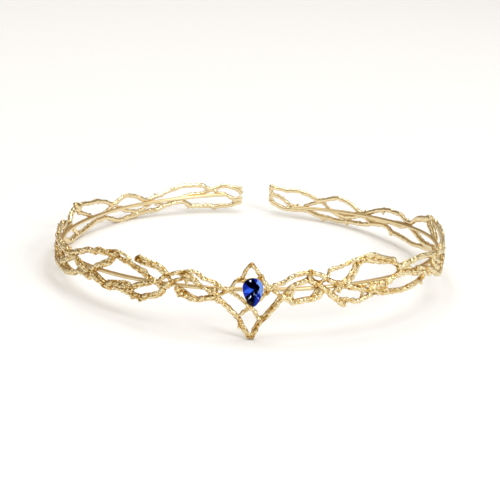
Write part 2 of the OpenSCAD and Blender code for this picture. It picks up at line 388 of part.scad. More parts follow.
// Sets the band down: its plane leans and its lowest points meet the floor
module at_rest() {
    translate(-rest_origin) rotate([-rest_tilt, -rest_roll, 0]) children();
}
function lean(p) = let(
    roll = [p.x * cos(rest_roll) - p.z * sin(rest_roll), p.y, p.x * sin(rest_roll) + p.z * cos(rest_roll)])
    [roll.x, roll.y * cos(rest_tilt) + roll.z * sin(rest_tilt),
        roll.z * cos(rest_tilt) - roll.y * sin(rest_tilt)];
skin_points = [for (twig = TWIGS) for (p = twig_points(twig)) lean(p)];
stone_front = lean(on_band(stone_angle, girdle_out + girdle_h + crown_h,
    stone_height - table_share * stone_l / 2));
all_x = [for (p = skin_points) p.x];
all_y = [for (p = skin_points) p.y];
rest_origin = [(min(all_x) + max(all_x)) / 2, (min(stone_front.y, min(all_y)) + max(all_y)) / 2,
    min([for (p = skin_points) p.z])];

module knot(angle, height, d, tip_angle, tip_height) {
    hull() {
        translate(on_band(angle, 0, height * height_scale)) sphere(d = d * twig_scale, $fn = knot_sides);
        translate(on_band(tip_angle, knot_tip_out, tip_height * height_scale))
            sphere(d = knot_tip_share * d * twig_scale, $fn = knot_sides);
    }
}

module collet() {
    at_stone() skin([for (row = COLLET) pear(row[0], row[1], row[2])]);
}

// Brilliant-cut pear: star, main and girdle facets round the table, and the same pattern behind
module cut_stone() {
    n = mains;
    points = concat(
        pear(girdle_h + crown_h, table_share, 0, n),
        pear(girdle_h + crown_h * star_rise, star_share, 0, n, 0.5),
        pear(girdle_h), pear(0), pear(-pavilion_h * lower_fall, lower_share, 0, n, 0.5),
        [[0, -pavilion_h, 0]]);
    star = n;
    top = 2 * n;
    base = 4 * n;
    low = 6 * n;
    culet = 7 * n;
    polyhedron(points, concat([[for (k = [n - 1 : -1 : 0]) k]], [for (k = [0 : n - 1])
        let(q = (k + 1) % n, g = 2 * k, h = 2 * k + 1, j = 2 * q)
        for (face = [
            [k, q, star + k], [k, star + k, top + g], [q, top + j, star + k],
            [star + k, top + h, top + g], [star + k, top + j, top + h],
            [top + g, top + h, base + g], [top + h, base + h, base + g],
            [top + h, top + j, base + h], [top + j, base + j, base + h],
            [low + k, base + g, base + h], [low + k, base + h, base + j],
            [culet, base + g, low + k], [culet, low + k, base + j]]) face]));
}

// Everything that is soldered together is joined far up, where slivers finer than solder close
module far_up() {
    translate([0, 0, far]) children();
}

module twig_frame() {
    color("goldenrod") at_rest() translate([0, 0, -far]) union() {
        for (twig = TWIGS) far_up() tube(twig_points(twig), twig_sides);
        far_up() tube(tube_points(wire_rings, wire_d), wire_sides);
        for (k = KNOTS) far_up() knot(k[0], k[1], k[2], k[3], k[4]);
        far_up() collet();
    }
}

module pear_stone() {
    color("royalblue") at_rest() at_stone() cut_stone();
}

twig_frame();
pear_stone();
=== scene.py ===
"""Looks of the twig tiara band and its pear stone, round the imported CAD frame."""

import math

import bmesh
import bpy
import numpy as np
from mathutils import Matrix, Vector


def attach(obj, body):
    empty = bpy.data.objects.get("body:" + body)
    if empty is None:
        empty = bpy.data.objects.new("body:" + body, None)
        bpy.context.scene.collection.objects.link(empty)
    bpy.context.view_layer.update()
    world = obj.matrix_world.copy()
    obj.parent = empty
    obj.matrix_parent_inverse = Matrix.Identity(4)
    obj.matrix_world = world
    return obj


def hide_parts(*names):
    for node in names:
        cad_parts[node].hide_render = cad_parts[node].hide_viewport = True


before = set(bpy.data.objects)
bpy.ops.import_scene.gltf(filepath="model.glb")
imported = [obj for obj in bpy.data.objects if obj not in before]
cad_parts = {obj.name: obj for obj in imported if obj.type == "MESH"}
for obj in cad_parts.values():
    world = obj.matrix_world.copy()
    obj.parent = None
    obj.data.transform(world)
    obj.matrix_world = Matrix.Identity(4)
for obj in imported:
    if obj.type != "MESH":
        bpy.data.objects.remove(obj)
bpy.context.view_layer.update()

# Camera: the band is charted in millimetres on a cylinder round its own axis, and the camera stands
# 572 mm from its middle, 13.57 degrees over its plane. At rest the band leans 4.54 degrees to the
# back and 2.45 to the side, and the camera leans with it.
LEAN_BACK, LEAN_SIDE = math.radians(4.54), math.radians(2.45)
REST_ORIGIN = np.array([-0.0284, -1.8021, -11.3096])
EYE_DISTANCE, EYE_RISE, EYE_ROLL = 572, math.radians(13.57), math.radians(1.0)
LENS, SHIFT_X, SHIFT_Y = 106.86, 0.0006, -0.0206


def lean(v):
    """Directions of the band as it rests: turned by LEAN_SIDE about Y, then by LEAN_BACK about X."""
    x = v[..., 0] * math.cos(LEAN_SIDE) - v[..., 2] * math.sin(LEAN_SIDE)
    z = v[..., 0] * math.sin(LEAN_SIDE) + v[..., 2] * math.cos(LEAN_SIDE)
    y = v[..., 1] * math.cos(LEAN_BACK) + z * math.sin(LEAN_BACK)
    return np.stack([x, y, z * math.cos(LEAN_BACK) - v[..., 1] * math.sin(LEAN_BACK)], axis=-1)


def set_down(v):
    """Band points in millimetres as metres in the resting frame: leaned, then shifted to the floor."""
    return (lean(v) - REST_ORIGIN) / 1000


ahead = np.array([0, math.cos(EYE_RISE), -math.sin(EYE_RISE)])
level, upright = np.array([1.0, 0, 0]), np.array([0, math.sin(EYE_RISE), math.cos(EYE_RISE)])
eye_right = math.cos(EYE_ROLL) * level + math.sin(EYE_ROLL) * upright
eye_up = math.cos(EYE_ROLL) * upright - math.sin(EYE_ROLL) * level
eye = bpy.data.objects.new("camera", bpy.data.cameras.new("camera"))
bpy.context.scene.collection.objects.link(eye)
stand = np.eye(4)
stand[:3, :3] = lean(np.stack([eye_right, eye_up, -ahead])).T
stand[:3, 3] = set_down(-EYE_DISTANCE * ahead)
eye.matrix_world = stand.T.tolist()
eye.data.lens, eye.data.shift_x, eye.data.shift_y = LENS, SHIFT_X, SHIFT_Y
eye.data.clip_start, eye.data.clip_end = 0.01, 20
bpy.context.scene.camera = eye
bpy.context.scene.view_settings.view_transform = "Standard"

# Studio: a matt white floor under the band, a dim warm surround, and seven soft lamps: a wide strong
# one overhead, a smaller key at the front right, and weak ones at the front, back, left and right.
LAMPS = [  # name, place in m, size in m, watts
    ("lamp_over", (0.0, 0.1, 1.5), 1.6, 20.5),
    ("lamp_front", (0.0, -1.25, 0.5), 1.2, 1.6),
    ("lamp_key", (0.9, -0.9, 0.9), 0.5, 8),
    ("lamp_fill", (-0.9, -0.7, 0.6), 0.6, 0.8),
    ("lamp_back", (0.0, 1.2, 0.7), 1.0, 1.6),
    ("lamp_right", (1.2, 0.1, 0.5), 0.8, 1.9),
    ("lamp_left", (-1.2, 0.1, 0.5), 0.8, 0.5)]
LAMP_COLOUR, LAMPS_AIM = (0.93, 0.97, 1.0), np.array([0, 0, 0.01])
SURROUND_COLOUR, SURROUND_LEVEL = (1.0, 0.72, 0.4, 1), 0.21
FLOOR_R, FLOOR_SIDES, FLOOR_COLOUR = 6.0, 64, (0.98, 0.98, 0.98, 1)

world = bpy.data.worlds.new("studio")
world.use_nodes = True
world.node_tree.nodes["Background"].inputs["Color"].default_value = SURROUND_COLOUR
world.node_tree.nodes["Background"].inputs["Strength"].default_value = SURROUND_LEVEL
bpy.context.scene.world = world
for name, place, size, watts in LAMPS:
    lamp = bpy.data.objects.new(name, bpy.data.lights.new(name, "AREA"))
    bpy.context.scene.collection.objects.link(lamp)
    lamp.data.shape, lamp.data.size, lamp.data.energy = "SQUARE", size, watts
    lamp.data.color = LAMP_COLOUR
    toward = LAMPS_AIM - np.array(place)
    lamp.location = place
    lamp.rotation_mode = "QUATERNION"
    lamp.rotation_quaternion = Vector(toward).to_track_quat("-Z", "Y")

turns = np.linspace(0, 2 * np.pi, FLOOR_SIDES, endpoint=False)
floor_mesh = bpy.data.meshes.new("floor")
floor_mesh.from_pydata([(FLOOR_R * math.cos(a), FLOOR_R * math.sin(a), 0) for a in turns], [],
                       [list(range(FLOOR_SIDES))])
floor = bpy.data.objects.new("floor", floor_mesh)
bpy.context.scene.collection.objects.link(floor)
paper = bpy.data.materials.new("white_paper")
paper.use_nodes = True
paper.node_tree.nodes["Principled BSDF"].inputs["Base Color"].default_value = FLOOR_COLOUR
paper.node_tree.nodes["Principled BSDF"].inputs["Roughness"].default_value = 0.9
floor_mesh.materials.append(paper)

# Support wire: smooth round brass wire, 1.5 mm thick, bent to the head inside the twigs and soldered
# to them, then plated with them.
WIRE_R, WIRE_D, WIRE_SIDES, WIRE_STEP, WIRE_ROUND = 71.9, 1.5, 20, 0.8, 0.3
CUTS = 24  # points worked out for each span of a charted path
WIRE = [  # angle, height
    [-172, 2.6], [-165, 2.4], [-150, 1.6], [-135, 1.0], [-118, 0.3], [-100, 0], [-80, 0], [-60, 0],
    [-40, 0], [-20, 0], [0, 0], [20, 0], [40, 0], [60, 0], [80, 0], [92, -0.2], [104, -0.6],
    [115, -1], [130, -1.5], [145, -1.7], [158, -2.0], [166, -2.0]]


def route(points, outward, radius, step, past):
    """Path on the band's cylinder through charted angles and heights. It is a Catmull-Rom curve: at
    share t of the span from b to c, between a and d, it is half of 2b + (c - a)t +
    (2a - 5b + 4c - d)t^2 + (3b - 3c + d - a)t^3. It is cut into even steps, and runs straight on
    past both ends. Gives the points, and how far each is past an end, as a share of past."""
    chart = np.array(points, float)
    padded = np.vstack([chart[:1], chart, chart[-1:]])
    at = np.linspace(0, len(chart) - 1, CUTS * (len(chart) - 1) + 1)
    span = np.minimum(at.astype(int), len(chart) - 2)
    t = (at - span)[:, None]
    a, b, c, d = (padded[span + k] for k in range(4))
    chart = (2 * b + (c - a) * t + (2 * a - 5 * b + 4 * c - d) * t**2 + (3 * (b - c) + d - a) * t**3) / 2
    angle, r = np.radians(chart[:, 0]), radius + outward
    place = np.stack([r * np.sin(angle), -r * np.cos(angle), chart[:, 1]], axis=-1)
    gone = np.concatenate([[0], np.cumsum(np.linalg.norm(np.diff(place, axis=0), axis=1))])
    length = gone[-1]
    even = np.linspace(-past, length + past, max(8, round((length + 2 * past) / step)) + 1)
    inside = np.clip(even, 0, length)
    path = np.stack([np.interp(inside, gone, place[:, k]) for k in range(3)], axis=-1)
    first, last = unit(place[1] - place[0]), unit(place[-1] - place[-2])
    over = even - inside
    path += np.minimum(over, 0)[:, None] * first + np.maximum(over, 0)[:, None] * last
    return path, even, np.abs(over) / past


def unit(v):
    """Vectors scaled to a length of 1."""
    return v / np.linalg.norm(v, axis=-1, keepdims=True)


def tube_grid(path, radii):
    """Surface round a path: the point at step i and turn q is path(i) + radii(i, q) times
    (cos q outward from the head + sin q across the twig)."""
    along = unit(np.gradient(path, axis=0))
    away = unit(path * [1, 1, 0])
    across = unit(np.cross(along, away))
    facing = np.cross(across, along)
    q = 2 * np.pi * np.arange(radii.shape[1]) / radii.shape[1]
    ring = np.cos(q)[None, :, None] * facing[:, None] + np.sin(q)[None, :, None] * across[:, None]
    return path[:, None] + radii[..., None] * ring


def grid_quads(rings, sides, first=0):
    """Quads that join each ring of a grid to the next one, numbered from first."""
    i, k = np.meshgrid(np.arange(rings - 1), np.arange(sides), indexing="ij")
    a, b = i * sides + k, i * sides + (k + 1) % sides
    return first + np.stack([a, a + sides, b + sides, b], axis=-1).reshape(-1, 4)


def new_piece(name, points, quads, material):
    """Object of a mesh whose place is in its points, smooth, with its poles closed."""
    mesh = bpy.data.meshes.new(name)
    mesh.from_pydata(points, [], quads)
    shape = bmesh.new()
    shape.from_mesh(mesh)
    bmesh.ops.remove_doubles(shape, verts=shape.verts, dist=1e-7)
    bmesh.ops.recalc_face_normals(shape, faces=shape.faces)
    shape.to_mesh(mesh)
    shape.free()
    mesh.polygons.foreach_set("use_smooth", np.ones(len(mesh.polygons), bool))
    mesh.materials.append(material)
    piece = bpy.data.objects.new(name, mesh)
    bpy.context.scene.collection.objects.link(piece)
    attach(piece, "root")
    return piece


satin = bpy.data.materials.new("satin_gold_wire")
satin.use_nodes = True
nodes, links = satin.node_tree.nodes, satin.node_tree.links
shader = nodes["Principled BSDF"]
shader.inputs["Metallic"].default_value = 1.0
where = nodes.new("ShaderNodeTexCoord")
polish = nodes.new("ShaderNodeTexNoise")
polish.inputs["Scale"].default_value = 900
# Painted shade: the wire's colour turns from pale gold to orange-brown on its upper and lower edges,
# where its surface faces up or down rather than outward.
painted_edge_shade = nodes.new("ShaderNodeAttribute")
painted_edge_shade.attribute_name = "painted_edge_shade"
tint = nodes.new("ShaderNodeValToRGB")
tint.color_ramp.elements[0].position, tint.color_ramp.elements[0].color = 0.15, (0.87, 0.73, 0.44, 1)
tint.color_ramp.elements[1].position, tint.color_ramp.elements[1].color = 0.9, (0.62, 0.36, 0.1, 1)
rub = nodes.new("ShaderNodeMapRange")
rub.inputs["To Min"].default_value, rub.inputs["To Max"].default_value = 0.3, 0.42
links.new(where.outputs["Object"], polish.inputs["Vector"])
links.new(painted_edge_shade.outputs["Fac"], tint.inputs["Fac"])
links.new(polish.outputs["Fac"], rub.inputs["Value"])
links.new(tint.outputs["Color"], shader.inputs["Base Color"])
links.new(rub.outputs["Result"], shader.inputs["Roughness"])

path, even, over = route(WIRE, 0, WIRE_R, WIRE_STEP, WIRE_ROUND * WIRE_D)
radii = WIRE_D / 2 * np.sqrt(1 - over**2)[:, None] * np.ones(WIRE_SIDES)
points = set_down(tube_grid(path, radii)).reshape(-1, 3)
wire = new_piece("support_wire", points, grid_quads(len(path), WIRE_SIDES), satin)
normals = np.zeros(len(wire.data.vertices) * 3, np.float32)
wire.data.vertex_normals.foreach_get("vector", normals)
places = np.zeros(len(wire.data.vertices) * 3, np.float32)
wire.data.vertices.foreach_get("co", places)
# Painted shade amount: 0 where the wire faces outward or toward the head, 1 where it faces up or down.
away = unit(places.reshape(-1, 3) * [1, 1, 0])
painted_edge_shades = 1 - np.abs((normals.reshape(-1, 3) * away).sum(axis=1))
wire.data.attributes.new("painted_edge_shade", "FLOAT", "POINT").data.foreach_set("value", painted_edge_shades.astype(np.float32))
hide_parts("twig_frame")

# Left front twigs: cast branches with bark, knots and cut stubs, woven loosely and soldered where they
# cross. The casting is sharp on its outer side, and its inner side is rubbed smooth.
TWIG_R, STEP, SIDES, TWIG_ROUND = 73.0, 0.25, 28, 0.3
BUDS_APART, INNER_FLAT = 2.2, 0.18
KNOT_OUT, KNOT_TAPER, KNOT_ROUND = 0.1, 0.75, 0.45
VOXEL = 0.18
CELL_LONG, CELL_WIDE, CELL_SHIFT, STEM_EVERY = 1.6, 1.25, 50, 3
NUGGET_HIGH, LUMP_HIGH, CRACK_DEEP, PIT_DEEP = 0.5, 0.25, 0.14, 0.3
NUGGET_R, CRACK_WIDE, LUMP_SIZE, PITS_APART, PIT_R = 0.8, 0.18, 0.9, 2.1, 0.15
# Painted shade near other twigs: how far it reaches from their surface, in mm, and how dark it is.
NOOK_REACH, NOOK_DARK = 0.5, 0.6
LEFT_FRONT = [  # outward, first diameter, last diameter, points as angle and height
    [0.1, 1.6, 1.5, [[-5.1, 0], [-6.3, 0.3], [-7.5, 1], [-8.6, 1.8], [-9.7, 2.6], [-10.9, 3],
        [-11.8, 3.3], [-12.6, 4], [-13.3, 4.8], [-14.3, 5.4], [-15.5, 5.5], [-17, 5.3],
        [-18.6, 4.9], [-20.2, 4.4], [-21.9, 3.6], [-23.4, 2.7], [-24.4, 1.7], [-24.4, 0.5],
        [-23.3, -0.1]]],
    [0.5, 1.7, 1.2, [[-8.9, -1], [-10, -1], [-11.1, -0.3], [-12.2, 0.5], [-13.2, 1.3], [-14.1, 2.5],
        [-14.9, 3.7], [-16.5, 4.1], [-18.3, 4]]],
    [-0.3, 1.2, 1.5, [[-12.9, 0.5], [-13.8, 1.2], [-15, 2.1], [-16.4, 2.5], [-17.9, 2.6],
        [-19.6, 2.1], [-20.7, 1.3], [-21.9, 0.2], [-23.1, -0.7]]],
    [0.3, 1.7, 1.6, [[-19.8, -0.6], [-19.4, -1.5], [-18.4, -2.2], [-17.3, -3.1], [-16.2, -3.7],
        [-14.8, -4.1], [-13.4, -4.1], [-12.1, -3.6], [-10.7, -3.4], [-9.2, -3.2], [-7.9, -3.9]]],
    [-0.3, 1.1, 1.1, [[-19.2, -0.5], [-17.8, -1.2], [-16.4, -2.2], [-15.2, -3.2], [-13.6, -3.6],
        [-11.9, -3.2], [-10.5, -2.6], [-9.1, -1.8]]],
    [0.4, 1.6, 1.5, [[-18.8, -3.4], [-18.7, -2.3], [-17.8, -2.5]]],
    [0.2, 2, 1.9, [[-31.9, 7.4], [-31, 8.2], [-29.7, 7.9], [-28.4, 7.3], [-27.1, 7.1], [-25.7, 6.7],
        [-24.5, 6], [-23.3, 5], [-22.4, 3.5]]],
    [-0.4, 1.4, 1.4, [[-31.1, 6.6], [-29, 6], [-27.2, 5.7], [-25.6, 5.4], [-24.3, 4.6],
        [-23.1, 3.1]]],
    [0, 1.8, 1.8, [[-41.5, 7.2], [-40, 7.2], [-38.6, 6.9], [-37.3, 6.4], [-36, 6], [-34.6, 5.8],
        [-33.2, 4.9], [-32.1, 4.1], [-30.9, 3.3], [-29.8, 2.7], [-28.6, 2.1], [-27.3, 1.4],
        [-26, 0.6], [-24.8, -0.5], [-23.8, -1.2]]],
    [0.3, 0.8, 1.6, [[-41, 8.6], [-39.6, 8.9], [-38.2, 9.1], [-36.8, 8.7], [-35.4, 7.9],
        [-34.3, 7.1], [-33.3, 5.7], [-32.2, 5], [-30.9, 4.5], [-29.4, 3.9], [-28.5, 2.8],
        [-27.9, 1.5]]],
    [0.2, 2.3, 2, [[-38.6, 7.6], [-40.5, 8], [-42.5, 7.6], [-44.5, 7.4], [-46.5, 7.4], [-48.2, 6.7],
        [-49.6, 6.6], [-51.1, 6.6], [-53, 5.8], [-55, 4.9], [-57.2, 4], [-59.5, 3.2], [-62, 2.4],
        [-64, 1.4]]],
    [-0.2, 2.6, 2.2, [[-40.6, 6.2], [-42, 4.5], [-43.8, 3.3], [-46.1, 2.2], [-48, 0.9],
        [-49.7, -0.5], [-51.2, -2.3]]],
    [0.2, 2.1, 2.3, [[-66, 2.2], [-63.5, 1.5], [-60.5, 1.8], [-58, 1.5], [-56.2, 0.7],
        [-54.6, -0.5], [-52.5, -1.3], [-50, -2.1], [-47.7, -2.9], [-45.6, -3.8], [-44, -4.5],
        [-42.4, -5], [-40.5, -4.4], [-38.4, -4], [-36.6, -4.4], [-35, -4.9], [-33.4, -5.3],
        [-31.8, -5.7], [-30.4, -5.8], [-28.9, -5.2], [-27.4, -4.7], [-25.8, -4.1], [-24.6, -3.2],
        [-23.7, -2], [-22.9, -0.6], [-21.6, 0.6]]],
    [-0.3, 1.8, 2, [[-48.8, -1.3], [-47.1, -2.2], [-45.4, -3.1], [-43.4, -3.9], [-41.3, -2.9],
        [-39.6, -2.7], [-37.8, -2.5], [-36.1, -2.1], [-35, -2.4], [-34.3, -3.2], [-33.8, -4.3]]],
    [0.4, 2, 2, [[-43, -4.2], [-41, -3.4], [-39, -3.1], [-37, -3.2], [-35, -3.6], [-33.4, -4.6]]],
    [0.3, 2, 1.6, [[-33.3, -3.2], [-32.4, -2.1], [-31.2, -1.3], [-29.8, -0.9], [-28.4, -0.5],
        [-26.8, 0.2]]],
    [0.3, 1.5, 1.3, [[-33.4, -5.4], [-33.4, -6.8]]],
    [0.3, 1.6, 1.4, [[-31, -5.8], [-30.8, -7.2]]],
    [-0.3, 0.8, 0.8, [[-17.5, 2.5], [-16.4, 0.4]]],
    [0, 1.5, 1.5, [[-22.2, 2.9], [-20.7, 0.7]]]]


def twig(row, number, round_end=TWIG_ROUND):
    """Tube along a charted twig. Its radius at length s and turn q is half its diameter, times
    waves of several lengths along and round it, plus buds at even steps on changing sides, each a
    small bell in s and q. The side towards the head is flatter, and the ends are rounded off. Gives
    the tube and its stem: middle, direction, length along it, radius and number of some steps."""
    outward, d_first, d_last, points = row
    path, s, over = route(points, outward, TWIG_R, STEP, round_end * max(d_first, d_last))
    rng = np.random.default_rng(number)
    q = 2 * np.pi * np.arange(SIDES) / SIDES
    d = (d_first + (d_last - d_first) * np.clip(s / s[-1], 0, 1))[:, None]
    waves = rng.uniform([0.9, -3, 0, 0.01], [4.5, 3, 6.28, 0.035], (12, 4))
    swell = sum(w[3] * np.sin(6.28 * s[:, None] / w[0] + np.round(w[1]) * q + w[2]) for w in waves)
    count = max(1, round(s[-1] / BUDS_APART))
    bud_s = (np.arange(count) + rng.uniform(0.1, 0.9, count)) * s[-1] / count
    bud_q = rng.uniform(-2.2, 2.2, count)
    bud_h, bud_w = rng.uniform(0.05, 0.4, count), rng.uniform(0.3, 0.55, count)
    turn = (q[None, :, None] - bud_q + np.pi) % (2 * np.pi) - np.pi
    bell = np.exp(-((s[:, None, None] - bud_s) ** 2 + (d[..., None] / 2 * turn) ** 2) / (2 * bud_w**2))
    flat = 1 - INNER_FLAT * np.clip(-np.cos(q), 0, 1) ** 2
    radii = d / 2 * 0.97 * flat * (1 + swell * (0.5 + 0.5 * np.cos(q / 2) ** 2)) + bell @ bud_h
    stem = np.column_stack([path, unit(np.gradient(path, axis=0)), s + CELL_SHIFT * number, d / 2,
                            np.full(len(s), number)])[::STEM_EVERY]
    return tube_grid(path, radii * np.sqrt(1 - 0.98 * over[:, None] ** 2)), stem


def hash_cells(cells):
    """Three numbers from 0 to 1 for a cell of a lattice: the fraction of a large multiple of a sine."""
    mix = cells @ np.array([[12.99, 39.35, 73.16], [78.23, 11.14, 52.24], [37.72, 83.16, 9.15]])
    return np.modf(np.abs(np.sin(mix)) * 43758.5)[0]


def rough(p):
    """Smooth noise from 0 to 1: a cell's eight corners, each with its own number, are mixed by
    f^2 (3 - 2f) of the place f in the cell."""
    cell = np.floor(p)
    f = p - cell
    f = f * f * (3 - 2 * f)
    total = 0
    for corner in np.ndindex(2, 2, 2):
        share = np.prod(np.where(np.array(corner) == 1, f, 1 - f), axis=1)
        total = total + share * hash_cells(cell + corner)[:, 0]
    return total


def two_nearest(p):
    """Distances to the nearest and the next of a set of scattered points, one in each cell of a
    lattice. The nearest draws round nuggets, and their difference the cracks between them."""
    cell = np.floor(p)
    first, second = np.full(len(p), 9.0), np.full(len(p), 9.0)
    for step in np.ndindex(3, 3, 3):
        other = cell + step - 1
        far = np.linalg.norm(other + hash_cells(other) - p, axis=1)
        second = np.minimum(second, np.maximum(first, far))
        first = np.minimum(first, far)
    return first, second


def along_bark(p, stems):
    """Place of each point in the bark of its nearest twig, in cells longer than wide: the length
    along the twig, then how far the point is outward and across from the twig's middle. And its
    distance from the surface of the nearest other twig."""
    nearest, other = np.empty(len(p), int), np.empty(len(p), int)
    for part in np.array_split(np.arange(len(p)), 16):
        gap = (stems[:, :3] ** 2).sum(axis=1) - 2 * p[part] @ stems[:, :3].T
        nearest[part] = gap.argmin(axis=1)
        gap[stems[nearest[part], 8][:, None] == stems[:, 8]] = 1e6
        other[part] = gap.argmin(axis=1)
    apart = np.linalg.norm(p - stems[other, :3], axis=1) - stems[other, 7]
    middle, along = stems[nearest, :3], stems[nearest, 3:6]
    off = p - middle
    run = (off * along).sum(axis=1)
    away = unit(middle * [1, 1, 0])
    return np.column_stack([(stems[nearest, 6] + run) / CELL_LONG, (off * away).sum(axis=1) / CELL_WIDE,
                            (off * np.cross(along, away)).sum(axis=1) / CELL_WIDE]), apart


def casting(name, rows, knots, number, coarse, painted_shade_shift=0.0):
    """One casting from twigs and knots. Their tubes are joined by a voxel mesh and smoothed a
    little. Then bark is raised along each normal: long nuggets with cracks between them, fine
    noise and small pits, all times coarse and fading on the side that faces the head. Shade is painted
    into the gold's colour on the outer side: darker in pits and cracks and lighter on nugget tops, darker
    where twigs meet and on the upper and lower sides, and darker or lighter over the whole casting by its
    last argument."""
    made = [twig(row, number * 100 + i) for i, row in enumerate(rows)]
    for i, (angle, height, d, tip_angle, tip_height) in enumerate(knots):
        made.append(twig([KNOT_OUT, d, KNOT_TAPER * d, [[angle, height], [tip_angle, tip_height]]],
                         number * 100 + 50 + i, KNOT_ROUND))
    grids, stems = [m[0] for m in made], np.vstack([m[1] for m in made])
    firsts = np.cumsum([0] + [g.shape[0] * g.shape[1] for g in grids])
    quads = np.vstack([grid_quads(len(g), SIDES, f) for g, f in zip(grids, firsts)])
    mesh = bpy.data.meshes.new(name)
    mesh.from_pydata(np.vstack([g.reshape(-1, 3) for g in grids]), [], quads)
    wax = bpy.data.objects.new("wax", mesh)
    bpy.context.scene.collection.objects.link(wax)
    fuse = wax.modifiers.new("fuse", "REMESH")
    fuse.mode, fuse.voxel_size, fuse.adaptivity = "VOXEL", VOXEL, 0
    ease = wax.modifiers.new("ease", "SMOOTH")
    ease.factor, ease.iterations = 0.5, 2
    bpy.context.view_layer.update()
    cast = bpy.data.meshes.new_from_object(wax.evaluated_get(bpy.context.evaluated_depsgraph_get()))
    bpy.data.objects.remove(wax)
    p = np.zeros(len(cast.vertices) * 3, np.float32)
    n = np.zeros(len(cast.vertices) * 3, np.float32)
    cast.vertices.foreach_get("co", p)
    cast.vertex_normals.foreach_get("vector", n)
    p, n = p.reshape(-1, 3).astype(float), n.reshape(-1, 3).astype(float)
    facing = (n * unit(p * [1, 1, 0])).sum(axis=1)
    outer = np.clip((facing + 0.45) / 0.6, 0, 1)
    bark = 0.12 + 0.88 * outer * outer * (3 - 2 * outer)
    place, apart = along_bark(p, stems)
    first, second = two_nearest(place)
    nugget = 1 - np.clip(first / NUGGET_R, 0, 1) ** 2
    crack = np.clip(1 - (second - first) / CRACK_WIDE, 0, 1)
    # Painted shade on the upper and lower sides of each twig, more on the undersides.
    shade = (0.6 - 0.25 * n[:, 2]) * (1 - np.abs(facing)) ** 1.5
    pit = np.clip(1.3 - two_nearest(p / PITS_APART + 7)[0] / PIT_R, 0, 1)
    lump = rough(p / LUMP_SIZE) - 0.5
    relief = NUGGET_HIGH * (nugget - 0.5) + LUMP_HIGH * lump - CRACK_DEEP * crack - PIT_DEEP * pit
    p += n * (coarse * bark * relief)[:, None]
    cast.vertices.foreach_set("co", set_down(p).ravel().astype(np.float32))
    # Painted shade, 0 to 1: darker near other twigs, in pits and cracks, lighter on nugget tops, plus the
    # upper and lower sides and a shift for the whole casting.
    nook = NOOK_DARK * np.clip(1 - apart / NOOK_REACH, 0, 1)
    painted_shade = np.clip(pit + coarse * (0.5 * crack + 0.4 - nugget) + painted_shade_shift + shade + nook, 0, 1)
    for label, value in (("bark", bark), ("painted_shade", painted_shade)):
        cast.attributes.new(label, "FLOAT", "POINT").data.foreach_set("value", value.astype(np.float32))
    cast.polygons.foreach_set("use_smooth", np.ones(len(cast.polygons), bool))
    cast.name = name
    cast.materials.clear()
    cast.materials.append(bark_gold)
    piece = bpy.data.objects.new(name, cast)
    bpy.context.scene.collection.objects.link(piece)
    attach(piece, "root")
    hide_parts("twig_frame")
    print(name, len(cast.polygons) * 2, "triangles")
    return piece


bark_gold = bpy.data.materials.new("bark_gold")
bark_gold.use_nodes = True
nodes, links = bark_gold.node_tree.nodes, bark_gold.node_tree.links
shader = nodes["Principled BSDF"]
shader.inputs["Metallic"].default_value = 1.0
where = nodes.new("ShaderNodeTexCoord")
painted_shade = nodes.new("ShaderNodeAttribute")
painted_shade.attribute_name = "painted_shade"
barky = nodes.new("ShaderNodeAttribute")
barky.attribute_name = "bark"
grain = nodes.new("ShaderNodeTexNoise")
grain.inputs["Scale"].default_value = 2600
grain.inputs["Detail"].default_value = 3
# The plating's own pale gold at 0, turning through orange to dark brown as the painted shade rises. The
# side facing the head mostly keeps a plain gold without painted shade.
plate_and_shade = nodes.new("ShaderNodeValToRGB")
plate_and_shade.color_ramp.elements[0].position, plate_and_shade.color_ramp.elements[0].color = 0.0, (0.875, 0.755, 0.475, 1)
plate_and_shade.color_ramp.elements[1].position, plate_and_shade.color_ramp.elements[1].color = 1.0, (0.31, 0.135, 0.018, 1)
middle = plate_and_shade.color_ramp.elements.new(0.45)
middle.color = (0.715, 0.48, 0.16, 1)
inner = nodes.new("ShaderNodeMix")
inner.data_type = "RGBA"
inner.inputs["A"].default_value = (0.87, 0.73, 0.455, 1)
rub = nodes.new("ShaderNodeMapRange")
rub.inputs["To Min"].default_value, rub.inputs["To Max"].default_value = 0.2, 0.33
relief = nodes.new("ShaderNodeBump")
relief.inputs["Distance"].default_value = 0.00006
links.new(where.outputs["Object"], grain.inputs["Vector"])
links.new(painted_shade.outputs["Fac"], plate_and_shade.inputs["Fac"])
links.new(barky.outputs["Fac"], inner.inputs["Factor"])
links.new(plate_and_shade.outputs["Color"], inner.inputs["B"])
links.new(inner.outputs["Result"], shader.inputs["Base Color"])
links.new(grain.outputs["Fac"], rub.inputs["Value"])
links.new(rub.outputs["Result"], shader.inputs["Roughness"])
links.new(grain.outputs["Fac"], relief.inputs["Height"])
links.new(barky.outputs["Fac"], relief.inputs["Strength"])
links.new(relief.outputs["Normal"], shader.inputs["Normal"])

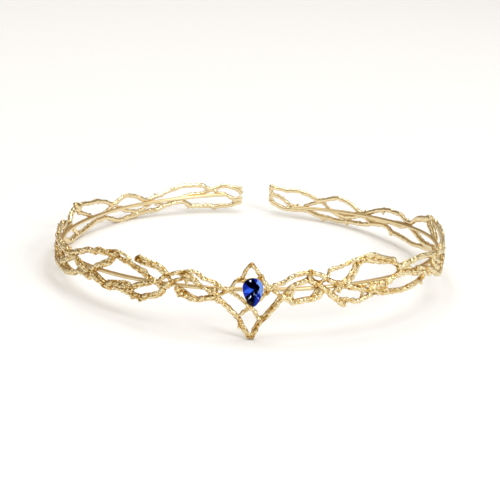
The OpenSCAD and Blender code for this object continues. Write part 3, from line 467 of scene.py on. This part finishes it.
KNOTS = [  # angle, height, diameter, angle and height of the tip
    [0.7, 8.9, 1.5, 0.8, 9.2], [-2.6, 3.7, 1.8, -0.3, 3.2], [3.4, 5, 1.8, 2.1, 3.2],
    [16.5, 5.8, 2, 16.6, 6.2], [18.6, 1.6, 2.3, 19.4, 1.6], [-31.6, 7.4, 2.2, -31.2, 7.9],
    [-46.3, 7.2, 2.5, -45.8, 7.8], [-50.4, -2.9, 2.3, -50.5, -3.5], [-109.6, 5.6, 2.6, -107.8, 7.4],
    [-139.2, -3, 2.4, -138.6, -3.6], [105, 5.4, 2.8, 104, 5.8], [103, 5.6, 1.8, 101.6, 6.9],
    [-109.6, 5.7, 3.4, -109, 6.9], [-146.4, 3, 1.4, -146.5, 4.3], [-64.5, 3, 3, -67, 3.2],
    [-96.5, 3.2, 3, -94, 2.4], [-80, -4.2, 2.8, -77, -4.8],
    [-158.8, -1.5, 1.3, -158.6, -2.9], [-168.1, -2.7, 1.4, -167.8, -3.8], [138.2, -0.7, 1.4, 138.2, 0.2],
    [130.4, 2, 1.3, 130.7, 0.6], [163.7, -2.1, 1.3, 163.6, -1.2],
    [37.6, -2.6, 1.8, 38.6, -2.8]]
# The last argument of each casting shifts its painted shade over the whole piece: darker above 0, lighter
# below 0.
casting("left_front_twigs", LEFT_FRONT, [k for k in KNOTS if -60 < k[0] < -8], 1, 0.9, 0.1)

# Centre motif: twigs that rise to a peak over the stone, cross behind its point and run down to a V.
# They are cast as the others are, thinner and with less bark, and soldered at their crossings.
CENTRE = [
    [0.2, 1.3, 1.5, [[0.7, 9.2], [0, 8.3], [-0.8, 7.1], [-1.4, 5.5], [-1.8, 4.3], [-2.6, 3.5],
        [-3.5, 3], [-4.1, 2.1], [-4.5, 1], [-5.1, 0], [-6.6, -0.2]]],
    [0.4, 1.3, 1.5, [[0.7, 9.2], [1.4, 8.2], [2, 7.1], [2.6, 5.8], [3.3, 4.5], [3.9, 3.3],
        [4.5, 2.3], [5, 1.1], [5.2, -0.2]]],
    [0.3, 1.4, 1.4, [[-5.4, 0], [-4, -1.2], [-2.3, -2.6], [-1, -4.1], [0.2, -5.7], [1.3, -6.8],
        [2, -8.2], [2.8, -10]]],
    [-0.2, 1.5, 1.3, [[5.4, 0.4], [4.9, -0.7], [4.2, -1.4], [3.1, -3], [1.6, -4.5], [0.2, -5.9],
        [-0.7, -7], [-1.6, -8.1], [-3, -9.6]]],
    [0, 1.9, 1.7, [[-9.3, 0], [-8.8, -2.1], [-7.5, -3.8], [-5.5, -6.2], [-3.7, -8.4], [-2.4, -10.3],
        [-1.6, -12.4], [-0.8, -14.3], [0.3, -16.4]]],
    [0, 1.6, 1.7, [[10.4, -0.5], [9.5, -1.5], [8.6, -2.4], [7.5, -4], [6.5, -5.6], [5.4, -7.3],
        [4.3, -9], [3, -10.6], [2.1, -12.5], [1.5, -14.3], [0.9, -16.4]]],
    [0.4, 1.5, 1.4, [[9.7, -2.2], [8.6, -3.5], [7.5, -5.1], [6.3, -6.8], [5.3, -8.4], [4, -10.3]]],
    [0.4, 1.5, 1.3, [[3.7, -10.2], [2.8, -11.8], [2.2, -13.4], [1.7, -15.1]]],
    [0, 1.4, 1.3, [[-2.5, -10], [-2.2, -13.2]]],
    [0, 1.7, 1.5, [[0.6, -16.4], [1.4, -16.3]]],
    [0.4, 1.3, 1.3, [[-6, -0.4], [-7.1, -1.5], [-8.2, -1.9], [-9, -1.2]]]]
casting("centre_twigs", CENTRE, [k for k in KNOTS if -8 < k[0] < 8], 2, 0.6, 0.08)

# Right front twigs: cast branches that cross in an open loop, with a cut stub that stands up and one
# that hangs down. Soldered to the wire behind them.
RIGHT_FRONT = [
    [0.1, 1.6, 1.7, [[5.4, 0.4], [6.4, 1.5], [7.6, 2.2], [8.9, 2.5], [9.9, 3.3], [11.2, 4.4],
        [12.3, 5], [13.6, 5.5], [15, 5.7], [16.1, 5.6], [17.3, 5.5], [18.7, 5.1], [19.8, 4.6],
        [20.8, 3.7], [21.9, 2.7], [23.1, 2], [24.3, 1.3], [25.7, 0.7]]],
    [0.4, 1.9, 2.3, [[16.4, 6.1], [16.2, 4.7], [16.6, 3], [18.1, 1.8], [19.4, 1], [20.7, -0.4],
        [22.2, -2], [23.7, -3.6], [25.2, -5.2], [26.4, -6.3]]],
    [-0.3, 2, 1.9, [[16.3, 3.2], [14.9, 2.8], [13.4, 2.1], [12, 1.4], [10.9, 0.2], [10.2, -1.2],
        [9.4, -2], [8.2, -2.6]]],
    [0, 1, 1, [[16.8, 4.1], [17.7, 3], [18.9, 2.5], [20.2, 2.5], [21.2, 2.9]]],
    [0.1, 2.2, 2.1, [[8.8, -2.4], [9.7, -2.5], [10.7, -3.3], [12, -4.2], [13.4, -4], [15.2, -3.6],
        [16.6, -3.5], [18, -3.4], [19.1, -2.6], [19.6, -1.4], [19.9, 0]]],
    [-0.3, 1.2, 1.3, [[13.1, -3.8], [14.6, -3.6], [16.1, -3.5], [17.3, -2.6], [17.9, -1.4],
        [18.7, -0.3], [19.3, 0.8]]],
    [0.1, 1.5, 2, [[21.4, 3.2], [21.7, 4.8], [22.1, 6.2], [23.2, 6.6], [24.4, 6.7], [25.6, 7.2],
        [26.9, 7.7], [28.3, 8.3], [30, 8.8], [32.4, 9.3], [34.4, 9.8], [36.4, 9.6], [38.4, 8.4],
        [40.1, 7.6], [42.1, 7], [43.8, 6.3]]],
    [-0.2, 2, 2, [[30.5, 7.8], [32.8, 8.1], [35.3, 7.8], [37.6, 7.2], [39.8, 6.6], [42.2, 6.3],
        [44.4, 5.2], [46.1, 3.7], [47, 2.2]]],
    [0.2, 1.3, 1.2, [[23.3, -1.6], [24.7, 0.2], [25.9, 1.6], [27.4, 3], [28.6, 4.8], [29.2, 6.3],
        [29.7, 7.9]]],
    [0.3, 1.5, 1.6, [[24.6, -1.6], [26.3, 0.3], [28, 1.8], [29.3, 3.6], [30.2, 5.5], [31.1, 7.3],
        [32.3, 8.6]]],
    [0.1, 2, 2.2, [[24.4, 1.6], [26.4, 0.3], [28.3, -0.5], [30.5, -1.2], [32.3, -1.9], [34, -2.6],
        [35.6, -3.3], [37.4, -3.8], [40, -4.4], [43.3, -4.8], [46.4, -5.2], [48.6, -5.2], [51.2, -5],
        [54.1, -4.6], [57, -4], [58.9, -3], [58.5, -1.3]]],
    [0, 1, 1.4, [[28, -0.9], [32.6, -0.5], [36, -0.6], [39.5, -0.5], [42, -0.2], [44, 0.6],
        [45.9, 1.5], [47.4, 2.6]]],
    [0.4, 1.5, 1.4, [[46.6, 2], [45.1, 1], [43.6, 0], [42, -1], [40.5, -2], [39.5, -3.6]]],
    [0.3, 1.6, 1.6, [[34.5, -2.4], [36.2, -1.7], [37.6, -1.6], [39, -1.8], [40.4, -2.9],
        [41.6, -4.2]]],
    [0.2, 1.8, 1.7, [[24.3, -4.4], [25.9, -4.6], [27.7, -5], [29.3, -5.6], [30.7, -5.9],
        [32.1, -5.6], [33.7, -4.9], [35.7, -4.3]]],
    [-0.2, 1.3, 1.3, [[32.6, -2.5], [32.5, -4], [32.2, -5.3]]],
    [0.4, 1.5, 1.3, [[56.6, -4.2], [57.7, -5.4]]],
    [0, 1.2, 1.2, [[11.8, -0.6], [11.4, -1.8], [11.7, -3.2]]],
    [-0.2, 1.4, 1.4, [[6.6, -0.3], [7.5, -1.1], [8.7, -2.2]]]]
casting("right_front_twigs", RIGHT_FRONT, [k for k in KNOTS if 8 < k[0] < 60], 3, 0.6)

# Left arm: twigs that overlap at the temple and run back in three lines to the open end. Their bark
# is coarse as far as the temple and finer behind it.
LEFT_SIDE = [
    [0.6, 2.1, 2, [[-48.6, -2.2], [-50.4, -3.2], [-52, -2.8], [-53.6, -2.4], [-56, -2.7],
        [-58.8, -3.9], [-61.6, -4.9], [-65, -5.4], [-69.5, -5.2], [-74.5, -5.1], [-79, -4.9],
        [-83, -3.6], [-86.5, -1.6], [-90, 0.4], [-93, 2.2], [-96, 2.8], [-99.5, 2.4], [-103, 1.6]]],
    [0, 1.8, 1.8, [[-58.5, 1.2], [-57.6, -0.4], [-56.6, -1.4], [-55.2, -2.4]]],
    [0.2, 2, 2, [[-60, 1.4], [-63.4, -0.2], [-66.5, -1.8], [-70.5, -3.4], [-74.8, -4.4],
        [-80, -4.6], [-85, -4.2], [-90, -4.2], [-95, -4.8], [-100, -5.6], [-104, -5.9]]],
    [-0.3, 1.8, 1.8, [[-59.6, -4.6], [-62.6, -4.6], [-66.4, -4.2], [-70.5, -2.4], [-73.5, -0.6],
        [-76, 1.4], [-79, 3], [-83, 4.2], [-88, 4.6], [-93, 3.8]]],
    [0.2, 2.5, 2, [[-62, 1.9], [-66, 2.4], [-70, 2.9], [-75, 3.3], [-80, 3], [-85, 2], [-90, 0.6],
        [-94, -1.2], [-98, -3.4], [-101, -5]]],
    [-0.1, 1.7, 1.7, [[-103.5, 1.8], [-100, 1.2], [-97, 0], [-94, -1.4]]]]
LEFT_BACK = [
    [0, 1.9, 1.7, [[-109.5, 6.2], [-112.3, 6.8], [-114.7, 6.5], [-117.8, 6.1], [-120.6, 6.1],
        [-123, 5.5], [-125.2, 4.8], [-127.2, 3.6], [-128.6, 2.6]]],
    [0.2, 2.2, 2.2, [[-110.5, 5.2], [-107.5, 6], [-105.2, 5.2], [-103.9, 3.6], [-103.2, 1.8],
        [-104, -0.6]]],
    [-0.2, 1.6, 1.5, [[-109, 4.4], [-111.8, 3.2], [-114, 2.3], [-116.3, 1.1], [-118, -0.1]]],
    [0.1, 1.8, 1.8, [[-124.8, 0.2], [-126.5, 1], [-127.8, 1.8], [-129.5, 2.9], [-131.8, 4.3],
        [-134.4, 5.5], [-137.2, 5.2], [-139.5, 4.2], [-141.4, 2.9], [-143.3, 2.3], [-145.8, 3],
        [-147.7, 3.7], [-149.5, 4.5], [-151.4, 5.3], [-153.8, 5.9], [-155.3, 6.6], [-158, 7],
        [-161.5, 6.9], [-163.7, 6.6], [-165.3, 5.4], [-167.2, 4.9], [-169, 5.6], [-170.5, 6.2],
        [-172.2, 6.2], [-174, 5.4], [-176.8, 5.2]]],
    [0, 1.8, 1.6, [[-175, 5.2], [-176.2, 4.2], [-176.9, 3]]],
    [-0.1, 1.3, 1.3, [[-129.6, 2.4], [-131, 1.5], [-132.8, 0.6]]],
    [0, 2.1, 1.8, [[-104, -5.9], [-107, -5.1], [-110, -4.9], [-114, -4], [-117, -3.3], [-120, -2.2],
        [-122.6, -2], [-125.5, -2], [-128, -3], [-131, -4.2], [-133.7, -4.2], [-136.7, -3.6],
        [-139.2, -3.1], [-141.5, -2.8], [-144, -2.4], [-146.8, -2.4], [-148.6, -1.6], [-150.8, -0.8],
        [-152.8, -0.2], [-155, 0.2], [-157, 0], [-158.4, -1.2], [-159.8, -2], [-161.5, -2],
        [-163.7, -2.3], [-166.4, -2.3], [-168, -2.8], [-169.9, -2.4], [-171.6, -2.5], [-173.7, -2],
        [-176.6, -0.9]]],
    [0.1, 1.3, 1.3, [[-131.8, 0.3], [-134.5, -0.7], [-136.7, -1.3], [-138.7, -1.8], [-140.6, -1.6],
        [-142.5, -0.6], [-144.4, 0.2]]],
    [-0.1, 1.3, 1.3, [[-146.5, 0.4], [-148.5, -0.3], [-150.8, -0.7], [-152.5, -0.2]]],
    [-0.2, 1.7, 1.7, [[-105, -0.8], [-106.5, -2.5], [-108.5, -4.4]]],
    [0, 1.5, 1.4, [[-166.8, 4.7], [-165, 3.9], [-163, 3.2], [-160.2, 3.2], [-157.8, 2.6],
        [-155.2, 2]]],
    [-0.2, 1.4, 1.8, [[-167.5, 4.5], [-168.6, 3.5], [-170.3, 3], [-171.6, 2.4], [-173, 1.3],
        [-174.6, 0.6], [-176.8, 0.9]]],
    [0, 1.8, 1.6, [[-174, 0.8], [-175, -0.4], [-176.6, -0.9]]]]
casting("left_side_twigs", LEFT_SIDE, [k for k in KNOTS if -120 < k[0] < -60], 4, 0.95, 0.05)
casting("left_back_twigs", LEFT_BACK, [k for k in KNOTS if k[0] < -120], 5, 0.8, -0.01)

# Right arm: its twigs twist round each other at the temple and run back to the open end, whose tips
# are joined by a short upright twig.
RIGHT_SIDE = [
    [0.1, 2.1, 2, [[45.6, 3], [47.2, 3.6], [48.8, 4], [50.5, 4], [52.5, 4.2], [55.4, 4.5],
        [59, 4.4], [62, 3.9], [65.5, 3], [70, 2.2], [75, 1.4], [80, 0.2], [85, -1.4], [90, -3.4],
        [95, -5], [100, -6.2], [104, -6.8], [107, -7.3]]],
    [0.2, 2, 2.1, [[45.5, 0.5], [47.5, 0.8], [49.5, 0.7], [52.3, -0.1], [54.9, -0.9], [57.4, -1.1]]],
    [0, 1.7, 2.2, [[55.1, 1], [57.6, 0.4], [60.3, -0.7], [62.6, -2.2], [63.8, -3.7]]],
    [0.7, 2.2, 2.2, [[104.5, 5.4], [100.5, 5.1], [96.5, 4.6], [92.5, 3.8], [88.5, 2.5], [85, 1.2],
        [81.8, -0.8], [79, -2.8], [76.5, -4.4], [74, -5.5], [71.3, -5.8], [68.8, -4.9],
        [66.4, -3.6], [63.5, -2], [60.5, -0.4]]],
    [-0.2, 1.8, 1.8, [[63, 3.4], [67, 1.4], [71, -0.6], [75, -2.4], [79, -3.6], [84, -4.4],
        [90, -5], [95, -5.4], [100, -5.2], [104, -5.6]]],
    [0.5, 1.9, 1.9, [[68, 2.4], [73, 3.4], [78, 4], [83, 4], [88, 4.2], [93, 4.6], [98, 5]]],
    [0.1, 1.5, 1.3, [[47.6, 2.6], [49.6, 2.3], [51.4, 1.6], [53.2, 0.6]]],
    [0, 2.6, 2.2, [[65.9, 0.2], [68.9, -2.2], [73.4, -4.5], [75.2, -6.2]]]]
RIGHT_BACK = [
    [0, 1.7, 1.9, [[172.8, 6.4], [171.8, 5.7], [169.8, 5.4], [167.6, 4.8], [165.2, 4.9], [163.3, 4.8],
        [161.7, 4.2], [159.8, 3.5], [158.2, 2.6], [157.1, 1.7], [155.8, 1.8], [154, 2.3],
        [151.8, 3.1], [149.9, 3.7], [148.2, 3.3], [146.4, 2.8], [144.5, 2], [143, 0.8],
        [141.6, -0.3], [140.2, -1.1], [138.2, -0.9], [136.4, 0], [134.4, 0.9], [132.6, 1.7],
        [130.4, 2.2], [128.2, 2.7], [126.2, 2.5], [124, 2.5], [122, 2.1], [120.1, 1.1],
        [118.2, 0.3], [116.6, 0.3], [115.2, 1.2], [113, 3], [110.8, 4], [108, 4.6], [105.5, 5.2],
        [103.5, 5.6]]],
    [0.1, 1.8, 1.6, [[172.9, 6.5], [173.1, 4.6], [172.6, 3], [171.1, 2.3], [169.4, 1.5],
        [167.8, -0.1], [166.4, -1.6], [164.5, -2.1]]],
    [0, 1.6, 1.8, [[172.7, 3], [173.1, 1.2], [172.7, -0.3]]],
    [0, 2, 1.9, [[172.9, 0.2], [172.3, -0.9], [171, -1.7], [169.8, -2.6], [168.2, -3.1],
        [166.6, -3.1], [164.6, -3.2], [162.2, -3.2], [160, -3.3], [158.3, -4.1], [156.6, -4.8],
        [154.8, -5.2], [152.7, -5.5], [150.7, -6], [148.6, -6.1], [146.4, -5.9], [144, -5.8],
        [141.4, -5.7], [139, -5.7], [137.4, -5.4], [135.6, -4.8], [133.6, -4.5], [131.6, -4.2],
        [130, -4.2], [128.4, -4.7], [127, -5.7], [125.3, -6.4], [122.6, -6.8], [120, -7.2],
        [117.8, -7.6], [115.5, -8], [113, -7.9], [110, -7.5], [107, -7.3], [104, -6.9]]],
    [-0.1, 1.4, 1.4, [[161.3, -1.4], [159.5, -0.4], [157.5, 0.5], [155.5, 0.9], [154.2, 0.4],
        [153, -0.7], [151.6, -1.8]]],
    [0, 1.5, 1.7, [[152, -2.2], [149.8, -3.3], [148.2, -4.4], [146.4, -5.4]]],
    [0.1, 1.9, 1.9, [[150, -2.6], [147, -3.6], [144.2, -3.5], [141.4, -2.7], [139.6, -2.2],
        [137.6, -3.2], [136, -4.4], [134.6, -4.7]]],
    [0.2, 1.9, 1.9, [[142, -1.8], [138, -2], [135, -2.4], [132, -2.5], [129, -2.4], [126, -2],
        [123, -1.6], [120, -1.2], [117.6, -0.8]]],
    [0, 1.7, 1.6, [[127.4, -2.2], [125.2, -2.4], [123.4, -2.7], [121.4, -2.6], [119.4, -1.9],
        [117.4, -1.3]]],
    [0, 2.1, 2.4, [[117.4, -1.1], [114.9, -2.4], [112.2, -3.6], [109.4, -4.8], [106.2, -5.4],
        [102.2, -5.1], [98.3, -4.5]]],
    [-0.1, 1.7, 1.6, [[104.8, 5], [104, 3], [102.4, 2], [100.6, 0.9], [99, -0.4]]],
    [0, 1.5, 1.2, [[154.7, -5.6], [154.5, -7.1]]],
    [0, 1.5, 1.2, [[146, -6.2], [145.6, -7.3]]],
    [0, 1.5, 1.2, [[127, -5.8], [126.8, -7.5]]],
    [0, 1.3, 1.6, [[114.6, 1.6], [112, 2.7], [109, 3.5], [106, 4.1]]],
    [0, 1.7, 1.9, [[102.4, 5.1], [100.9, 3.7], [99, 2.5], [97.4, 1.1], [96, -0.5]]]]
casting("right_side_twigs", RIGHT_SIDE, [k for k in KNOTS if 60 < k[0] < 120], 6, 0.8, -0.14)
casting("right_back_twigs", RIGHT_BACK, [k for k in KNOTS if k[0] > 120], 7, 0.75, 0.02)

# Collet: a low cup of sheet metal, bent to the pear's outline and soldered to the wire and to the two
# knots beside it. Its rim ends just behind the stone's girdle, so the whole stone shows.
STONE_L, STONE_W, PEAR_TAPER = 10.0, 7.0, 0.33
STONE_ANGLE, STONE_HEIGHT, STONE_TURN, GIRDLE_OUT = 1.05, 0.2, 2.0, 3.2
COLLET_DEEP, COLLET_SHARE, COLLET_SIDES, GIRDLE_H = 4.3, 0.5, 96, 0.3
widest = math.asin((math.sqrt(1 + 8 * PEAR_TAPER**2) - 1) / (4 * PEAR_TAPER))
HALF_W = STONE_W / 2 / (math.cos(widest) * (1 + PEAR_TAPER * math.sin(widest)))


def pear_ring(out, share, offset, t):
    """The pear's outline at a depth: x is half its width times cos t (1 + taper sin t), z is half its
    length times sin t, both scaled by a share and pushed out along the outline's normal."""
    wide = 1 + PEAR_TAPER * np.sin(t)
    along = unit(np.stack([HALF_W * (PEAR_TAPER * np.cos(t) ** 2 - np.sin(t) * wide),
                           STONE_L / 2 * np.cos(t)], axis=-1))
    return np.stack([-share * HALF_W * np.cos(t) * wide - offset * along[:, 1], out + 0 * t,
                     share * STONE_L / 2 * np.sin(t) - offset * along[:, 0]], axis=-1)


def at_stone(v):
    """Points drawn with +Y outward, at the stone's place: turned by STONE_TURN about Y, then to the
    front, and shifted to the girdle's middle on the band."""
    a, b = math.radians(STONE_TURN), math.radians(STONE_ANGLE + 180)
    x = v[..., 0] * math.cos(a) + v[..., 2] * math.sin(a)
    z = v[..., 2] * math.cos(a) - v[..., 0] * math.sin(a)
    x, y = x * math.cos(b) - v[..., 1] * math.sin(b), x * math.sin(b) + v[..., 1] * math.cos(b)
    r, c = TWIG_R + GIRDLE_OUT, math.radians(STONE_ANGLE)
    return np.stack([x + r * math.sin(c), y - r * math.cos(c), z + STONE_HEIGHT], axis=-1)


COLLET = [  # outward from the girdle, share of the girdle's size, offset
    (-COLLET_DEEP, COLLET_SHARE, 0), (-2.6, 0.74, 0), (-1.2, 0.93, 0.02), (-0.35, 1, 0.02), (-0.14, 1, 0),
    (-0.12, 1, -0.04), (-2.2, 0.5, 0), (-2.9, 0.32, 0), (-COLLET_DEEP, 0.3, 0),
    (-COLLET_DEEP, COLLET_SHARE, 0)]
t = 2 * np.pi * np.arange(COLLET_SIDES) / COLLET_SIDES
points = set_down(at_stone(np.concatenate([pear_ring(*row, t) for row in COLLET])))
collet = new_piece("collet", points, grid_quads(len(COLLET), COLLET_SIDES), satin)
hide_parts("twig_frame")

# Pear stone: deep blue, cut with a table, eight star facets, eight mains and sixteen girdle facets on
# the crown, and mains and lower girdle facets behind. It sits in the collet with its point down. What its
# back facets would mirror is painted on them as flat colours: painted reflections, dark in most of them,
# with small painted white glints, and the lighter ones glow as painted light.
CROWN_H, PAVILION_H, MAINS = 1.2, 2.8, 8
TABLE_SHARE, STAR_SHARE, STAR_RISE, LOWER_SHARE, LOWER_FALL = 0.58, 0.8, 0.6, 0.45, 0.6
CULET_OFF = np.array([-0.4, 0, 0.5])  # the culet sits a little off the middle
whole, half = 2 * np.pi * np.arange(MAINS) / MAINS, 2 * np.pi * (np.arange(MAINS) + 0.5) / MAINS
both = 2 * np.pi * np.arange(2 * MAINS) / (2 * MAINS)
corners = np.concatenate([
    pear_ring(GIRDLE_H + CROWN_H, TABLE_SHARE, 0, whole),
    pear_ring(GIRDLE_H + CROWN_H * STAR_RISE, STAR_SHARE, 0, half), pear_ring(GIRDLE_H, 1, 0, both),
    pear_ring(0, 1, 0, both), pear_ring(-PAVILION_H * LOWER_FALL, LOWER_SHARE, 0, half) + CULET_OFF,
    [[0, -PAVILION_H, 0]] + CULET_OFF])
k = np.arange(MAINS)
q, g, h, j = (k + 1) % MAINS, 2 * k, 2 * k + 1, 2 * ((k + 1) % MAINS)
STAR, TOP, BASE, LOW, CULET = MAINS, 2 * MAINS, 4 * MAINS, 6 * MAINS, 7 * MAINS + 0 * k
facets = [k[::-1].tolist()]
for f in ((k, q, STAR + k), (STAR + k, TOP + h, TOP + g), (STAR + k, TOP + j, TOP + h),
          (k, STAR + k, TOP + g), (q, TOP + j, STAR + k),
          (TOP + g, TOP + h, BASE + h, BASE + g), (TOP + h, TOP + j, BASE + j, BASE + h),
          (LOW + k, BASE + g, BASE + h), (LOW + k, BASE + h, BASE + j),
          (LOW + (k - 1) % MAINS, BASE + g, LOW + k), (CULET, LOW + (k - 1) % MAINS, LOW + k)):
    facets += np.stack(f, axis=-1).tolist()
BEHIND = [  # painted reflections from the right side round over the top: two rim halves, main, its tip
    (4, 4, 4, 1), (4, 2, 4, 1), (1, 1, 1, 1), (2, 2, 1, 1), (2, 1, 3, 3), (1, 1, 1, 1), (2, 2, 1, 1),
    (2, 4, 2, 1)]
FIRST_BEHIND = 1 + 7 * MAINS  # the table, the crown and the girdle come before it
painted_reflections = [0] * FIRST_BEHIND + np.array(BEHIND).T.ravel().tolist()
GLINTS = [  # column and row of the facet in BEHIND, its corners' shares in the middle, size, painted reflection
    (0, 2, (0.5, 0.15, 0.35), 0.45, 5), (3, 6, (0.34, 0.33, 0.33), 0.5, 4),
    (3, 7, (0.05, 0.7, 0.25), 0.2, 5), (2, 7, (0.3, 0.4, 0.3), 0.2, 5), (2, 5, (0.4, 0.3, 0.3), 0.35, 5)]
for column, row, shares, size, painted_reflection in GLINTS:  # a small facet is cut out of a big one and given a painted glint
    number = FIRST_BEHIND + column * MAINS + row
    big = facets[number]
    middle = np.array(shares) @ corners[big]
    corners = np.concatenate([corners, middle + size * (corners[big] - corners[big].mean(axis=0))])
    small = [len(corners) - 3, len(corners) - 2, len(corners) - 1]
    facets[number] = small
    for one, two in ((0, 1), (1, 2), (2, 0)):
        facets.append([big[one], big[two], small[two], small[one]])
        painted_reflections.append(painted_reflections[number])
    painted_reflections[number] = painted_reflection

blue = bpy.data.materials.new("deep_blue_stone")
blue.use_nodes = True
shader = blue.node_tree.nodes["Principled BSDF"]
shader.inputs["Base Color"].default_value = (0.8, 0.86, 1.0, 1)
shader.inputs["Roughness"].default_value = 0.0
shader.inputs["IOR"].default_value = 1.3
shader.inputs["Specular Tint"].default_value = (0.12, 0.18, 0.5, 1)
shader.inputs["Transmission Weight"].default_value = 1.0
stone = new_piece("pear_stone_cut", set_down(at_stone(corners)), facets, blue)
stone.data.polygons.foreach_set("use_smooth", np.zeros(len(stone.data.polygons), bool))
PAINTED_REFLECTIONS = [  # name, painted reflection colour on the back facets, glow as painted light standing in for light thrown back from elsewhere in the stone
    ("painted_reflection_dark", (0.0, 0.0, 0.006), 0), ("painted_reflection_deep_blue", (0.01, 0.04, 0.5), 0.1),
    ("painted_reflection_vivid_blue", (0.05, 0.17, 1.0), 0.15), ("painted_reflection_pale_blue", (0.28, 0.46, 1.0), 0.4),
    ("painted_glint_white", (0.8, 0.85, 1.0), 0.9)]
# Each painted reflection is a flat colour that also glows, though no lamp is there.
for name, colour, glow in PAINTED_REFLECTIONS:
    painted_reflection = bpy.data.materials.new(name)
    painted_reflection.use_nodes = True
    shader = painted_reflection.node_tree.nodes["Principled BSDF"]
    shader.inputs["Base Color"].default_value = (*colour, 1)
    shader.inputs["Specular IOR Level"].default_value = 0.0
    shader.inputs["Emission Color"].default_value = (*colour, 1)
    shader.inputs["Emission Strength"].default_value = glow
    stone.data.materials.append(painted_reflection)
stone.data.polygons.foreach_set("material_index", np.array(painted_reflections, np.int32))
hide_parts("pear_stone")
